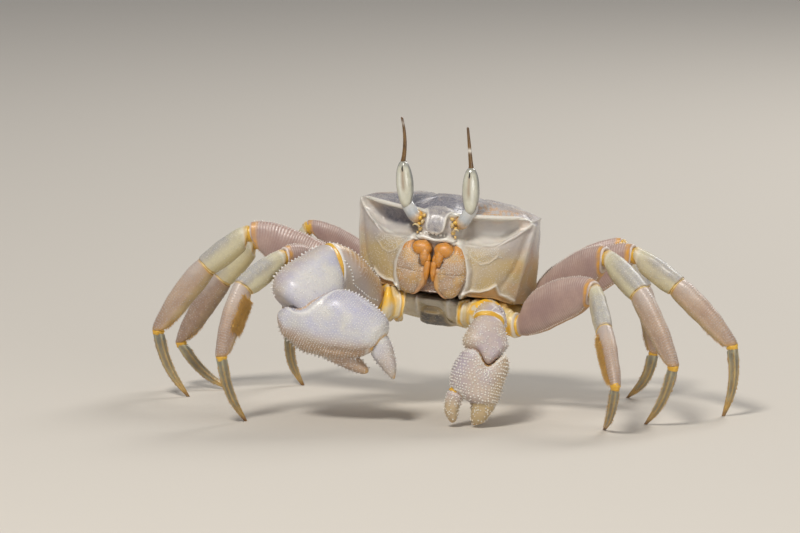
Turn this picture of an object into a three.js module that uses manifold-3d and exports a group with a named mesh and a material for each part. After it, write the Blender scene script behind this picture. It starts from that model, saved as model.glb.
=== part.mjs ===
// Horned ghost crab standing on level ground, life size.
//
// Units are millimetres and +Z is up. The crab faces -Y, so its own left side is +X.
// The trunk is laid out in a body frame whose origin lies on the midline, at the height of
// the orbital margin. The stance (pitch, roll and height) carries it into the floor frame,
// in which the limbs are laid out. Every plate is one closed solid, and neighbouring plates
// keep a narrow seam between them.

import * as THREE from 'three';
import { mergeVertices } from 'three/addons/utils/BufferGeometryUtils.js';
import Module from 'manifold-3d';

const wasm = await Module();
wasm.setup();

// ---------------------------------------------------------------- driving dimensions

const seam = 0.3; // clearance between neighbouring plates
const room = 0.5; // how much fatter than a limb the socket is that is cut for it

// How the trunk is held: degrees nose up, degrees left side down, and the height of the
// body frame's origin above the floor.
const stance = { pitch: 4, roll: 6, height: 46.8 };

// Shift that brings the middle of the crab's footprint to the origin.
const centring = { x: 1.95, y: 13.17 };

// Carapace. The orbital corners are its widest teeth; the crown is the height of the dome.
const shell = {
  cornerX: 21.5,
  cornerY: -8.5,
  faceY: -17.8,
  faceCurve: 2.4,
  sideX: 22,
  sideY: 19.7,
  sideCentreY: -1,
  sideSquare: 2.9,
  sideTaper: 0.008,
  crown: 2.9,
  floorZ: -20.1,
  floorScale: 0.8,
  frontColumns: 22,
  sideColumns: 24,
};

// Heights of the orbital margin, the lower orbital ridge and the lower rim of the shell.
const shellHeights = {
  marginMiddle: -0.6,
  marginCorner: 0.6,
  marginRear: -3.2,
  ridgeMiddle: -7.4,
  ridgeCorner: -1.8,
  ridgeRear: -5.5,
  rimFront: -19.4,
  rimSide: -20.3,
  rimRear: -9.5,
};

// Orbits: hollows between the margin and the ridge, with a notch where each eye comes out.
const orbit = { inner: 3.6, outer: 20.4, depth: 4, notchX: 5.8, notchWidth: 1.9, notchDepth: 2.6 };

// Rostrum: a tongue that bends down between the eyes. Each row is y, z, half width.
const rostrumPath = [
  [-13.2, 1.1, 4.2],
  [-16.4, 0.3, 3.6],
  [-18.2, -0.9, 2.3],
  [-19.1, -2.6, 2.1],
  [-19.5, -4.2, 1.9],
  [-19.4, -5.2, 0.8],
];
const rostrumThickness = 1.1;

// Sternum: rows of y, middle z, half height, half width.
const sternumRows = [
  [-14.3, -21.5, 0.9, 6.5],
  [-11.5, -22.6, 2.1, 9.5],
  [-7, -23.5, 2.9, 11.8],
  [2, -23.8, 3.2, 12.6],
  [9, -23.4, 2.8, 11.6],
  [14, -22.3, 1.8, 9],
];

// Abdomen, folded under the trunk from the rear margin to the telson: y, z, half width.
const abdomenPath = [
  [18.6, -10.2, 8],
  [17.9, -16, 8.2],
  [14.4, -23.4, 7.6],
  [6, -26.7, 6.2],
  [-3, -27.1, 4.6],
  [-9, -26.2, 3.5],
  [-13.2, -22.6, 2.6],
];
const abdomenThickness = 1.7;

// Outer mouthparts: shields that close the mouth, each with a palp along its inner edge.
const mouthShield = { x: 4.7, y: -17.9, top: -7.6, bottom: -20.2, halfWidth: 3.7, halfDepth: 2.4 };
const mouthPalp = { x: 1.4, y: -18.7, top: -8.2, bottom: -16.6, halfWidth: 0.9, halfDepth: 1.5 };

// Eyes. Leans are degrees from the vertical, outwards where positive.
const eye = {
  base: [5.7, -16.9, -2.2],
  stemLength: 3.6,
  stemRadius: 1.9,
  corneaLength: 10.2,
  corneaRadius: 2.15,
  spineRadius: 0.75,
  spineSetback: 1.5,
  hornRadius: 0.55,
  hornTipRadius: 0.28,
};
const eyePoses = {
  left: { stemLean: 24, eyeLean: 5, hornLean: -5, hornBend: 0, hornLength: 9.6 },
  right: { stemLean: 34, eyeLean: 7, hornLean: -6, hornBend: 10, hornLength: 10.4 },
};

// Walking legs, front to rear: where the coxa leaves the sternum and the merus begins (body
// frame, left side), the plate lengths, and the plates' breadth against that of leg 2.
const legSizes = [
  { socket: [12.5, -8.5, -24], hip: [20.5, -9, -25], lengths: [26, 14, 17, 17.4], breadth: 0.96 },
  { socket: [13, -0.5, -24.2], hip: [21, 0.5, -24], lengths: [30.2, 13.4, 20, 17.2], breadth: 1 },
  { socket: [12.5, 7, -24], hip: [20.2, 9, -23.5], lengths: [31, 13, 19.6, 16.6], breadth: 0.95 },
  { socket: [9.5, 13.2, -22.5], hip: [17, 16, -21.5], lengths: [26, 11.5, 16, 12.6], breadth: 0.62 },
];

// Leg postures. swing is the azimuth of the merus (0 is straight out, minus is forward),
// turn is added to it below the knee, and the rest are slopes in degrees. The dactyl's
// slope isn't here: it is worked out so that the tip reaches the floor.
const legPoses = {
  left: [
    { swing: -29, turn: -37, merus: 23, carpus: -34, propodus: -40 },
    { swing: -31, turn: -5, merus: 34, carpus: -33, propodus: -53 },
    { swing: -15, turn: 2, merus: 31, carpus: -32, propodus: -43 },
    { swing: 12, turn: -20, merus: 33, carpus: -62, propodus: -80 },
  ],
  right: [
    { swing: -60, turn: 2, merus: 29, carpus: -26, propodus: -66 },
    { swing: -8, turn: 5, merus: 29, carpus: -38, propodus: -53 },
    { swing: -1, turn: 8, merus: 22, carpus: -48, propodus: -56 },
    { swing: 12, turn: 4, merus: 29, carpus: -70, propodus: -84 },
  ],
};

// Leg plates: rows of place along the plate, half breadth and half thickness.
const coxaRows = [
  [0, 3, 3],
  [0.5, 3.5, 3.3],
  [1, 2.7, 2.4],
];
const merusRows = [
  [0, 2.4, 1.9],
  [0.13, 3.9, 2.2],
  [0.36, 5, 2.2],
  [0.62, 4.9, 2.1],
  [0.84, 4.1, 2],
  [1, 2.7, 1.8],
];
const carpusRows = [
  [0, 2.1, 1.7],
  [0.3, 2.8, 2],
  [0.75, 3, 2.1],
  [1, 2.3, 1.8],
];
const propodusRows = [
  [0, 2.2, 1.7],
  [0.18, 3, 1.9],
  [0.55, 2.8, 1.8],
  [0.86, 2.2, 1.5],
  [1, 1.6, 1.3],
];
const dactylRows = [
  [0, 1.4, 1.1],
  [0.22, 1.5, 1.1],
  [0.52, 1.25, 0.95],
  [0.8, 0.85, 0.7],
  [1, 0.45, 0.45],
];
const bows = { merus: 1.2, propodus: 0.4, dactyl: 1.3 };

// Claw arms: the same places as a leg's, then slopes and azimuths of the merus and carpus.
// The hand lies in a plane whose outer side faces outward, and spin turns its long axis in
// that plane. thumb is 1 where the moving finger lies to the left of the axis, seen from
// outside.
const armSizes = {
  left: {
    socket: [6.5, -12.6, -23.6],
    hip: [15, -12.6, -23.2],
    merus: { azimuth: -80, slope: 4, length: 16.5 },
    carpus: { azimuth: -92, slope: -56, length: 9 },
    hand: { outwardAzimuth: 14, outwardSlope: 6, spin: -105, thumb: -1 },
    breadth: 0.72,
  },
  right: {
    socket: [6.5, -12.8, -23.6],
    hip: [13, -14.4, -23.4],
    merus: { azimuth: -64, slope: 33, length: 19 },
    carpus: { azimuth: -49, slope: -41, length: 15.2 },
    hand: { outwardAzimuth: 4, outwardSlope: 10, spin: -33, thumb: 1 },
    breadth: 1,
  },
};
const armCoxaRows = [
  [0, 4, 3.8],
  [0.5, 4.5, 4.2],
  [1, 3.6, 3.4],
];
const armMerusRows = [
  [0, 3.2, 3],
  [0.3, 4.4, 3.5],
  [0.75, 5.4, 3.9],
  [1, 5.2, 3.6],
];
const armCarpusRows = [
  [0, 5, 3.6],
  [0.3, 7, 4.7],
  [0.7, 8.3, 5.1],
  [1, 5.6, 4],
];

// Hands. Rows are the place along the hand's axis, the centre's place across it towards the
// moving finger, half breadth and half thickness, and how far the centre lies inwards.
const handShapes = {
  left: {
    palm: [
      [0, -0.8, 3.4, 2.6, 0],
      [1.6, -0.5, 5.2, 3.3, 0],
      [5, -0.1, 6.2, 3.7, 0],
      [8.6, -0.2, 6, 3.5, 0],
      [11.2, -0.8, 4.6, 2.9, 0],
    ],
    thumb: [
      [8, -2.7, 3.3, 2.8, 0],
      [12, -2.9, 2.5, 2.2, 0.2],
      [14.8, -2.6, 1.6, 1.5, 0.4],
      [16.2, -2.2, 0.8, 0.8, 0.5],
    ],
    finger: [
      [9.4, 3.8, 1.9, 1.9, 0.2],
      [12.4, 4, 1.8, 1.7, 0.3],
      [15.4, 3.6, 1.4, 1.3, 0.4],
      [17, 3, 0.8, 0.8, 0.5],
    ],
  },
  right: {
    palm: [
      [-2.5, -2.2, 1.6, 1.9, 0],
      [0.5, -2.2, 3.2, 3.1, 0],
      [3.5, 0.3, 6.4, 4.3, 0],
      [8.6, 2.5, 8.7, 5.1, 0],
      [13.8, 3.7, 7.9, 4.9, 0],
      [18.4, 4.8, 6.2, 4.1, 0],
      [21.8, 6, 3.6, 3, 0],
    ],
    thumb: [
      [11, -2.3, 3.6, 3.4, 1],
      [16, -2.2, 2.8, 2.7, 1.6],
      [19.8, -2, 2, 1.9, 2],
      [22.4, -1.5, 0.9, 0.9, 2.3],
    ],
    finger: [
      [20.6, 4.7, 2.8, 2.6, 0.4],
      [24.6, 3.1, 2.8, 2.3, 0.7],
      [27, 1.6, 2.1, 1.7, 1],
      [28.7, 0.2, 0.9, 0.9, 1.2],
    ],
  },
};

// ---------------------------------------------------------------- colours and finishes

const finishes = {
  shell: { color: 0xb4abb9, roughness: 0.5, metalness: 0 },
  belly: { color: 0xb9ad98, roughness: 0.55, metalness: 0 },
  tail: { color: 0x6d7078, roughness: 0.5, metalness: 0 },
  mouth: { color: 0xc7986c, roughness: 0.5, metalness: 0 },
  stem: { color: 0x9a8f7c, roughness: 0.4, metalness: 0 },
  cornea: { color: 0xc9c4b4, roughness: 0.2, metalness: 0 },
  coxa: { color: 0xd9b25a, roughness: 0.5, metalness: 0 },
  merus: { color: 0xa8949c, roughness: 0.55, metalness: 0 },
  carpus: { color: 0xc3bda6, roughness: 0.55, metalness: 0 },
  propodus: { color: 0xc0a695, roughness: 0.55, metalness: 0 },
  dactyl: { color: 0x9b8a62, roughness: 0.45, metalness: 0 },
  claw: { color: 0xcdc8d0, roughness: 0.45, metalness: 0 },
};

// ---------------------------------------------------------------- small helpers

const crab = new THREE.Group();
const radians = THREE.MathUtils.degToRad;
const mix = THREE.MathUtils.lerp;
const smooth = THREE.MathUtils.smoothstep;
const xAxis = new THREE.Vector3(1, 0, 0);
const yAxis = new THREE.Vector3(0, 1, 0);
const upAxis = new THREE.Vector3(0, 0, 1);

const stanceMatrix = new THREE.Matrix4()
  .makeTranslation(0, 0, stance.height)
  .multiply(new THREE.Matrix4().makeRotationY(radians(stance.roll)))
  .multiply(new THREE.Matrix4().makeRotationX(radians(-stance.pitch)));

// A body-frame point in the floor frame.
function onBody(x, y, z) {
  return new THREE.Vector3(x, y, z).applyMatrix4(stanceMatrix);
}

// A direction from its azimuth and slope; side is 1 for the crab's left and -1 for its right.
function heading(side, azimuth, slope) {
  const level = Math.cos(radians(slope));
  return new THREE.Vector3(
    side * Math.cos(radians(azimuth)) * level,
    Math.sin(radians(azimuth)) * level,
    Math.sin(radians(slope)),
  );
}

function signedPower(value, power) {
  return Math.sign(value) * Math.abs(value) ** power;
}

function bisector(first, second) {
  return first.clone().add(second).normalize();
}

// ---------------------------------------------------------------- rings and skins

// A ring of points on a superellipse. up x across has to be the direction of travel.
function ring(centre, up, across, breadth, thickness, count, square) {
  const points = [];
  for (let i = 0; i < count; i += 1) {
    const angle = (2 * Math.PI * i) / count;
    const u = breadth * signedPower(Math.cos(angle), 2 / square);
    const v = thickness * signedPower(Math.sin(angle), 2 / square);
    points.push(centre.clone().addScaledVector(up, u).addScaledVector(across, v));
  }
  return points;
}

// Skins a stack of rings into one closed surface. An end ring of one point closes to that
// point, and any other end ring gets a flat face.
function skin(rings) {
  const starts = [];
  const vertices = [];
  for (const points of rings) {
    starts.push(vertices.length / 3);
    for (const point of points) {
      vertices.push(point.x, point.y, point.z);
    }
  }
  const at = (row, column) => starts[row] + (column % rings[row].length);
  const faces = [];
  for (let row = 0; row < rings.length - 1; row += 1) {
    const lower = rings[row].length;
    const upper = rings[row + 1].length;
    for (let column = 0; column < Math.max(lower, upper); column += 1) {
      if (lower > 1) {
        faces.push(at(row, column), at(row, column + 1), at(row + 1, column));
      }
      if (upper > 1) {
        faces.push(at(row, column + 1), at(row + 1, column + 1), at(row + 1, column));
      }
    }
  }
  const last = rings.length - 1;
  for (let column = 1; column < rings[0].length - 1; column += 1) {
    faces.push(at(0, 0), at(0, column + 1), at(0, column));
  }
  for (let column = 1; column < rings[last].length - 1; column += 1) {
    faces.push(at(last, 0), at(last, column), at(last, column + 1));
  }
  const geometry = new THREE.BufferGeometry();
  geometry.setAttribute('position', new THREE.Float32BufferAttribute(vertices, 3));
  geometry.setIndex(faces);
  return geometry;
}

// ---------------------------------------------------------------- joining and cutting

function toSolid(geometry) {
  const bare = geometry.clone();
  bare.deleteAttribute('normal');
  bare.deleteAttribute('uv');
  const merged = mergeVertices(bare);
  const mesh = new wasm.Mesh({
    numProp: 3,
    vertProperties: new Float32Array(merged.attributes.position.array),
    triVerts: new Uint32Array(merged.index.array),
  });
  return new wasm.Manifold(mesh);
}

function toGeometry(solid) {
  const mesh = solid.getMesh();
  const geometry = new THREE.BufferGeometry();
  geometry.setAttribute('position', new THREE.BufferAttribute(mesh.vertProperties, 3));
  geometry.setIndex(new THREE.BufferAttribute(mesh.triVerts, 1));
  return geometry;
}

function join(...geometries) {
  return toGeometry(geometries.map(toSolid).reduce((whole, part) => whole.add(part)));
}

function cut(geometry, ...tools) {
  const start = toSolid(geometry);
  return toGeometry(tools.map(toSolid).reduce((rest, tool) => rest.subtract(tool), start));
}

function addPlate(name, finish, geometry) {
  geometry.computeVertexNormals();
  const plate = new THREE.Mesh(geometry, new THREE.MeshStandardMaterial(finishes[finish]));
  plate.name = name;
  crab.add(plate);
}

// ---------------------------------------------------------------- limb plates

// One plate of a limb. It runs from one joint to the next, and its end faces lie in the
// joint planes, so that neighbours meet face to face. across is the thin direction, bow
// lifts the middle, and grow makes the fatter copy that cuts a socket.
function limbPlate(plan) {
  const { from, to, fromNormal, toNormal, across, rows } = plan;
  const { bow = 0, breadth = 1, points = 8, square = 2.3, endGap = seam / 2, grow = 0 } = plan;
  const start = from.clone().addScaledVector(fromNormal, seam / 2 - grow);
  const end = to.clone().addScaledVector(toNormal, grow - endGap);
  const axis = end.clone().sub(start).normalize();
  const lift = new THREE.Vector3().crossVectors(across, axis).normalize();
  const turnIn = 0.3; // share of the length over which a ring turns into its joint plane
  const rings = rows.map(([place, halfBreadth, halfThickness]) => {
    const startShare = Math.max(0, 1 - place / turnIn);
    const endShare = Math.max(0, 1 - (1 - place) / turnIn);
    const normal = axis.clone().multiplyScalar(1 - startShare - endShare);
    normal.addScaledVector(fromNormal, startShare).addScaledVector(toNormal, endShare);
    normal.normalize();
    const flat = across.clone().addScaledVector(normal, -across.dot(normal)).normalize();
    const up = new THREE.Vector3().crossVectors(flat, normal);
    const centre = start.clone().lerp(end, place);
    centre.addScaledVector(lift, bow * Math.sin(Math.PI * place));
    const high = halfBreadth * breadth + grow;
    const thick = halfThickness * breadth + grow;
    return ring(centre, up, flat, high, thick, points, square);
  });
  return skin(rings);
}

// ---------------------------------------------------------------- walking legs

const sockets = []; // fatter copies of the limbs' inner plates, which clear room in the trunk

// neighbour is the socket tool of the limb in front: the coxa and merus give way to it.
function addLeg(side, sideName, index, neighbour) {
  const size = legSizes[index];
  const pose = legPoses[sideName][index];
  const [merusLength, carpusLength, propodusLength, dactylLength] = size.lengths;
  const [socketX, socketY, socketZ] = size.socket;
  const [hipX, hipY, hipZ] = size.hip;
  const shankSwing = pose.swing + pose.turn;

  const socket = onBody(side * socketX, socketY, socketZ);
  const hip = onBody(side * hipX, hipY, hipZ);
  const coxaWay = hip.clone().sub(socket).normalize();
  const merusWay = heading(side, pose.swing, pose.merus);
  const carpusWay = heading(side, shankSwing, pose.carpus);
  const propodusWay = heading(side, shankSwing, pose.propodus);
  const knee = hip.clone().addScaledVector(merusWay, merusLength);
  const ankle = knee.clone().addScaledVector(carpusWay, carpusLength);
  const heel = ankle.clone().addScaledVector(propodusWay, propodusLength);
  const fall = THREE.MathUtils.radToDeg(Math.asin(heel.z / dactylLength));
  const dactylWay = heading(side, shankSwing, fall - 180);
  const tip = heel.clone().addScaledVector(dactylWay, dactylLength);
  tip.z = 0;

  const merusAcross = new THREE.Vector3().crossVectors(heading(side, pose.swing, 0), upAxis);
  const shankAcross = new THREE.Vector3().crossVectors(heading(side, shankSwing, 0), upAxis);
  const kneeNormal = bisector(merusWay, carpusWay);
  const ankleNormal = bisector(carpusWay, propodusWay);
  const heelNormal = bisector(propodusWay, dactylWay);
  const hipNormal = bisector(coxaWay, merusWay);
  const slim = Math.sqrt(size.breadth); // the lower plates differ less from leg to leg

  const name = `${sideName}_leg_${index + 1}`;
  const coxa = {
    from: socket, to: hip, fromNormal: coxaWay, toNormal: hipNormal,
    across: merusAcross, rows: coxaRows, breadth: slim,
  };
  const merus = {
    from: hip, to: knee, fromNormal: hipNormal, toNormal: kneeNormal,
    across: merusAcross, rows: merusRows, breadth: size.breadth, bow: bows.merus, points: 10,
  };
  addPlate(`${name}_coxa`, 'coxa', cut(limbPlate(coxa), neighbour));
  addPlate(`${name}_merus`, 'merus', cut(limbPlate(merus), neighbour));
  addPlate(`${name}_carpus`, 'carpus', limbPlate({
    from: knee, to: ankle, fromNormal: kneeNormal, toNormal: ankleNormal,
    across: shankAcross, rows: carpusRows, breadth: slim,
  }));
  addPlate(`${name}_propodus`, 'propodus', limbPlate({
    from: ankle, to: heel, fromNormal: ankleNormal, toNormal: heelNormal,
    across: shankAcross, rows: propodusRows, breadth: slim, bow: bows.propodus,
  }));
  addPlate(`${name}_dactyl`, 'dactyl', limbPlate({
    from: heel, to: tip, fromNormal: heelNormal, toNormal: upAxis.clone().negate(),
    across: shankAcross, rows: dactylRows, bow: bows.dactyl, endGap: 0,
  }));
  const socketTool = join(limbPlate({ ...coxa, grow: room }), limbPlate({ ...merus, grow: room }));
  sockets.push(socketTool);
  return socketTool;
}

// ---------------------------------------------------------------- claw arms

// Skins the rows of a hand, thumb or finger, given in the hand's own plane.
function handSkin(rows, wrist, axis, toFinger, outward, grow = 0) {
  const across = new THREE.Vector3().crossVectors(axis, toFinger);
  const last = rows.length - 1;
  const rings = rows.map(([along, aside, halfBreadth, halfThickness, inwards], row) => {
    const push = row === 0 ? -grow : grow * (row === last);
    const centre = wrist.clone().addScaledVector(axis, along + push);
    centre.addScaledVector(toFinger, aside).addScaledVector(outward, -inwards);
    return ring(centre, toFinger, across, halfBreadth + grow, halfThickness + grow, 12, 2.3);
  });
  return skin(rings);
}

function addArm(side, sideName) {
  const size = armSizes[sideName];
  const shape = handShapes[sideName];
  const [socketX, socketY, socketZ] = size.socket;
  const [hipX, hipY, hipZ] = size.hip;
  const slim = Math.sqrt(size.breadth);

  const socket = onBody(side * socketX, socketY, socketZ);
  const hip = onBody(side * hipX, hipY, hipZ);
  const coxaWay = hip.clone().sub(socket).normalize();
  const merusWay = heading(side, size.merus.azimuth, size.merus.slope);
  const carpusWay = heading(side, size.carpus.azimuth, size.carpus.slope);
  const knee = hip.clone().addScaledVector(merusWay, size.merus.length);
  const wrist = knee.clone().addScaledVector(carpusWay, size.carpus.length);

  // The hand's plane: outward faces out of it, level lies flat in it.
  const outward = heading(1, size.hand.outwardAzimuth - 90, size.hand.outwardSlope);
  const level = new THREE.Vector3().crossVectors(upAxis, outward).normalize();
  const steep = new THREE.Vector3().crossVectors(outward, level);
  const spin = radians(size.hand.spin);
  const axis = level.clone().multiplyScalar(Math.cos(spin)).addScaledVector(steep, Math.sin(spin));
  const toFinger = new THREE.Vector3().crossVectors(outward, axis);
  toFinger.multiplyScalar(size.hand.thumb);

  const hipNormal = bisector(coxaWay, merusWay);
  const kneeNormal = bisector(merusWay, carpusWay);
  const name = `${sideName}_claw`;
  const coxa = {
    from: socket, to: hip, fromNormal: coxaWay, toNormal: hipNormal,
    across: upAxis, rows: armCoxaRows, breadth: slim, points: 10,
  };
  const merus = {
    from: hip, to: knee, fromNormal: hipNormal, toNormal: kneeNormal,
    across: outward, rows: armMerusRows, breadth: size.breadth, points: 10,
  };
  addPlate(`${name}_coxa`, 'coxa', limbPlate(coxa));
  addPlate(`${name}_merus`, 'claw', limbPlate(merus));
  const carpus = limbPlate({
    from: knee, to: wrist, fromNormal: kneeNormal, toNormal: carpusWay,
    across: outward, rows: armCarpusRows, breadth: size.breadth, points: 10,
  });

  const handStart = wrist.clone().addScaledVector(axis, seam / 2);
  const palm = handSkin(shape.palm, handStart, axis, toFinger, outward);
  const thumb = handSkin(shape.thumb, handStart, axis, toFinger, outward);
  const finger = handSkin(shape.finger, handStart, axis, toFinger, outward);
  const palmRoom = handSkin(shape.palm, handStart, axis, toFinger, outward, seam);
  const fingerRoom = handSkin(shape.finger, handStart, axis, toFinger, outward, seam);
  const merusRoom = limbPlate({ ...merus, grow: seam });
  addPlate(`${name}_carpus`, 'claw', cut(carpus, palmRoom, merusRoom));
  addPlate(`${name}_palm`, 'claw', cut(join(palm, thumb), fingerRoom));
  addPlate(`${name}_finger`, 'claw', finger);
  const socketTool = join(limbPlate({ ...coxa, grow: room }), limbPlate({ ...merus, grow: room }));
  sockets.push(socketTool);
  return socketTool;
}

// ---------------------------------------------------------------- carapace

// The shell's wall is measured by a depth: 0 at the margin, 1 at the orbit's lower ridge and
// 2 at the lower rim.
function wallHeight(depth, margin, ridge, rim) {
  return depth < 1 ? mix(margin, ridge, depth) : mix(ridge, rim, depth - 1);
}

// How far the wall has come down, from 0 at the margin to 1 at the rim.
function wallFall(z) {
  return Math.min(1, Math.max(0, z / shellHeights.rimSide));
}

// The front wall at x: orbits, cheeks and the middle of the face.
function frontPoint(x, depth) {
  const share = Math.abs(x) / shell.cornerX;
  const margin = mix(shellHeights.marginMiddle, shellHeights.marginCorner, share ** 1.5);
  const ridgeShare = smooth(share, 0.6, 1);
  const ridge = mix(shellHeights.ridgeMiddle, shellHeights.ridgeCorner, ridgeShare);
  const rim = mix(shellHeights.rimFront, shellHeights.rimSide, smooth(share, 0.75, 1));
  const z = wallHeight(depth, margin, ridge, rim);
  const inOrbit = smooth(Math.abs(x), orbit.inner, orbit.inner + 2)
    * (1 - smooth(Math.abs(x), orbit.outer - 6, orbit.outer));
  const hollow = depth < 1 ? Math.sin(Math.PI * depth) ** 0.6 : 0;
  const notch = Math.exp(-(((Math.abs(x) - orbit.notchX) / orbit.notchWidth) ** 2));
  const cheek = depth > 1 ? Math.sin(Math.PI * (depth - 1)) : 0;
  const y = mix(shell.faceY, shell.cornerY, share ** shell.faceCurve)
    + orbit.depth * inOrbit * hollow
    + orbit.notchDepth * notch * (depth < 1 ? 1 - depth : 0)
    - 0.7 * cheek;
  const lean = 1 - 0.14 * wallFall(z) ** 1.3;
  return new THREE.Vector3(x * lean, y, z);
}

// The side and rear wall, at an angle from the left side (0) over the rear (90 degrees).
function sidePoint(angle, depth) {
  const power = 2 / shell.sideSquare;
  const y = shell.sideCentreY + shell.sideY * signedPower(Math.sin(angle), power);
  const taper = 1 - shell.sideTaper * Math.max(0, y - shell.cornerY);
  const x = shell.sideX * taper * signedPower(Math.cos(angle), power);
  const toRear = smooth(Math.sin(angle), -0.25, 1);
  const atRear = smooth(Math.sin(angle), 0.8, 1);
  const margin = mix(shellHeights.marginCorner, shellHeights.marginRear, toRear);
  const ridge = mix(shellHeights.ridgeCorner, shellHeights.ridgeRear, toRear);
  const rim = mix(shellHeights.rimSide, shellHeights.rimRear, atRear);
  const z = wallHeight(depth, margin, ridge, rim);
  const atCorner = 1 - smooth(y, shell.cornerY, 3);
  const lean = 1 - mix(0.03, 0.14, atCorner) * wallFall(z) ** 1.3;
  const swell = 0.02 * (1 - atCorner) * Math.sin(Math.PI * wallFall(z));
  return new THREE.Vector3(x * (lean + swell), y * mix(lean, 1, atCorner), z);
}

// One ring of the wall at a depth, from the right orbital corner across the face.
function wallRing(depth) {
  const points = [];
  for (let i = 0; i < shell.frontColumns; i += 1) {
    const x = shell.cornerX * ((2 * i) / shell.frontColumns - 1);
    points.push(frontPoint(x, depth));
  }
  const power = shell.sideSquare / 2;
  const cornerShare = (shell.cornerY - shell.sideCentreY) / shell.sideY;
  const cornerAngle = Math.asin(signedPower(cornerShare, power));
  for (let i = 0; i < shell.sideColumns; i += 1) {
    const angle = mix(cornerAngle, Math.PI - cornerAngle, i / shell.sideColumns);
    points.push(sidePoint(angle, depth));
  }
  return points;
}

// The dome: the margin ring drawn in towards the middle of the back and raised.
function domeRing(scale) {
  return wallRing(0).map((point) => {
    const height = mix(shell.crown, point.z, scale ** 2.4);
    return new THREE.Vector3(point.x * scale, point.y * scale, height);
  });
}

function rostrumSkin() {
  const rings = rostrumPath.map(([y, z, halfWidth], row) => {
    const before = rostrumPath[Math.max(0, row - 1)];
    const after = rostrumPath[Math.min(rostrumPath.length - 1, row + 1)];
    const travel = new THREE.Vector3(0, after[0] - before[0], after[1] - before[1]).normalize();
    const up = new THREE.Vector3().crossVectors(xAxis, travel);
    const centre = new THREE.Vector3(0, y, z);
    return ring(centre, up, xAxis, rostrumThickness / 2, halfWidth, 8, 2.6);
  });
  return skin(rings);
}

function carapaceSkin() {
  const rim = wallRing(2);
  const floor = rim.map((point) => new THREE.Vector3(
    point.x * shell.floorScale, point.y * shell.floorScale, shell.floorZ,
  ));
  const depths = [1.9, 1.6, 1.3, 1, 0.85, 0.5, 0.12, 0];
  const rings = [
    [new THREE.Vector3(0, 0, shell.floorZ)],
    floor,
    rim,
    ...depths.map(wallRing),
    domeRing(0.85),
    domeRing(0.6),
    domeRing(0.3),
    [new THREE.Vector3(0, 0, shell.crown)],
  ];
  return join(skin(rings), rostrumSkin());
}

// ---------------------------------------------------------------- underside and mouth

function sternumSkin() {
  const rings = sternumRows.map(([y, z, halfHeight, halfWidth]) => (
    ring(new THREE.Vector3(0, y, z), upAxis, xAxis, halfHeight, halfWidth, 16, 2.8)
  ));
  return skin(rings);
}

function abdomenSkin(grow = 0) {
  const last = abdomenPath.length - 1;
  const rings = abdomenPath.map(([y, z, halfWidth], row) => {
    const before = abdomenPath[Math.max(0, row - 1)];
    const after = abdomenPath[Math.min(last, row + 1)];
    const travel = new THREE.Vector3(0, after[0] - before[0], after[1] - before[1]).normalize();
    const up = new THREE.Vector3().crossVectors(xAxis, travel);
    const push = row === 0 ? -grow : grow * (row === last);
    const centre = new THREE.Vector3(0, y, z).addScaledVector(travel, push);
    return ring(centre, up, xAxis, abdomenThickness / 2 + grow, halfWidth + grow, 10, 2.8);
  });
  return skin(rings);
}

// A shield of the mouth or its palp: a tall pod, flattened from front to back.
function podSkin(side, pod, grow = 0) {
  const shares = [0.02, 0.12, 0.3, 0.5, 0.7, 0.88, 0.98];
  const rings = shares.map((share) => {
    const swell = Math.sin(Math.PI * share) ** 0.55;
    const z = mix(pod.bottom - grow, pod.top + grow, share);
    const centre = new THREE.Vector3(side * pod.x, pod.y, z);
    const halfWidth = pod.halfWidth * swell + grow;
    const halfDepth = pod.halfDepth * swell + grow;
    return ring(centre, xAxis, yAxis, halfWidth, halfDepth, 12, 2.2);
  });
  return skin(rings);
}

function mouthSkin(side, grow = 0) {
  return join(podSkin(side, mouthShield, grow), podSkin(side, mouthPalp, grow));
}

// ---------------------------------------------------------------- eyes

// A tube through points, with one radius for each. Its rings stay level.
function levelTube(points, radii, count) {
  return skin(points.map((point, i) => ring(point, xAxis, yAxis, radii[i], radii[i], count, 2)));
}

// A direction in the XZ plane that leans outwards from the vertical.
function leaning(side, lean) {
  return new THREE.Vector3(side * Math.sin(radians(lean)), 0, Math.cos(radians(lean)));
}

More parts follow.
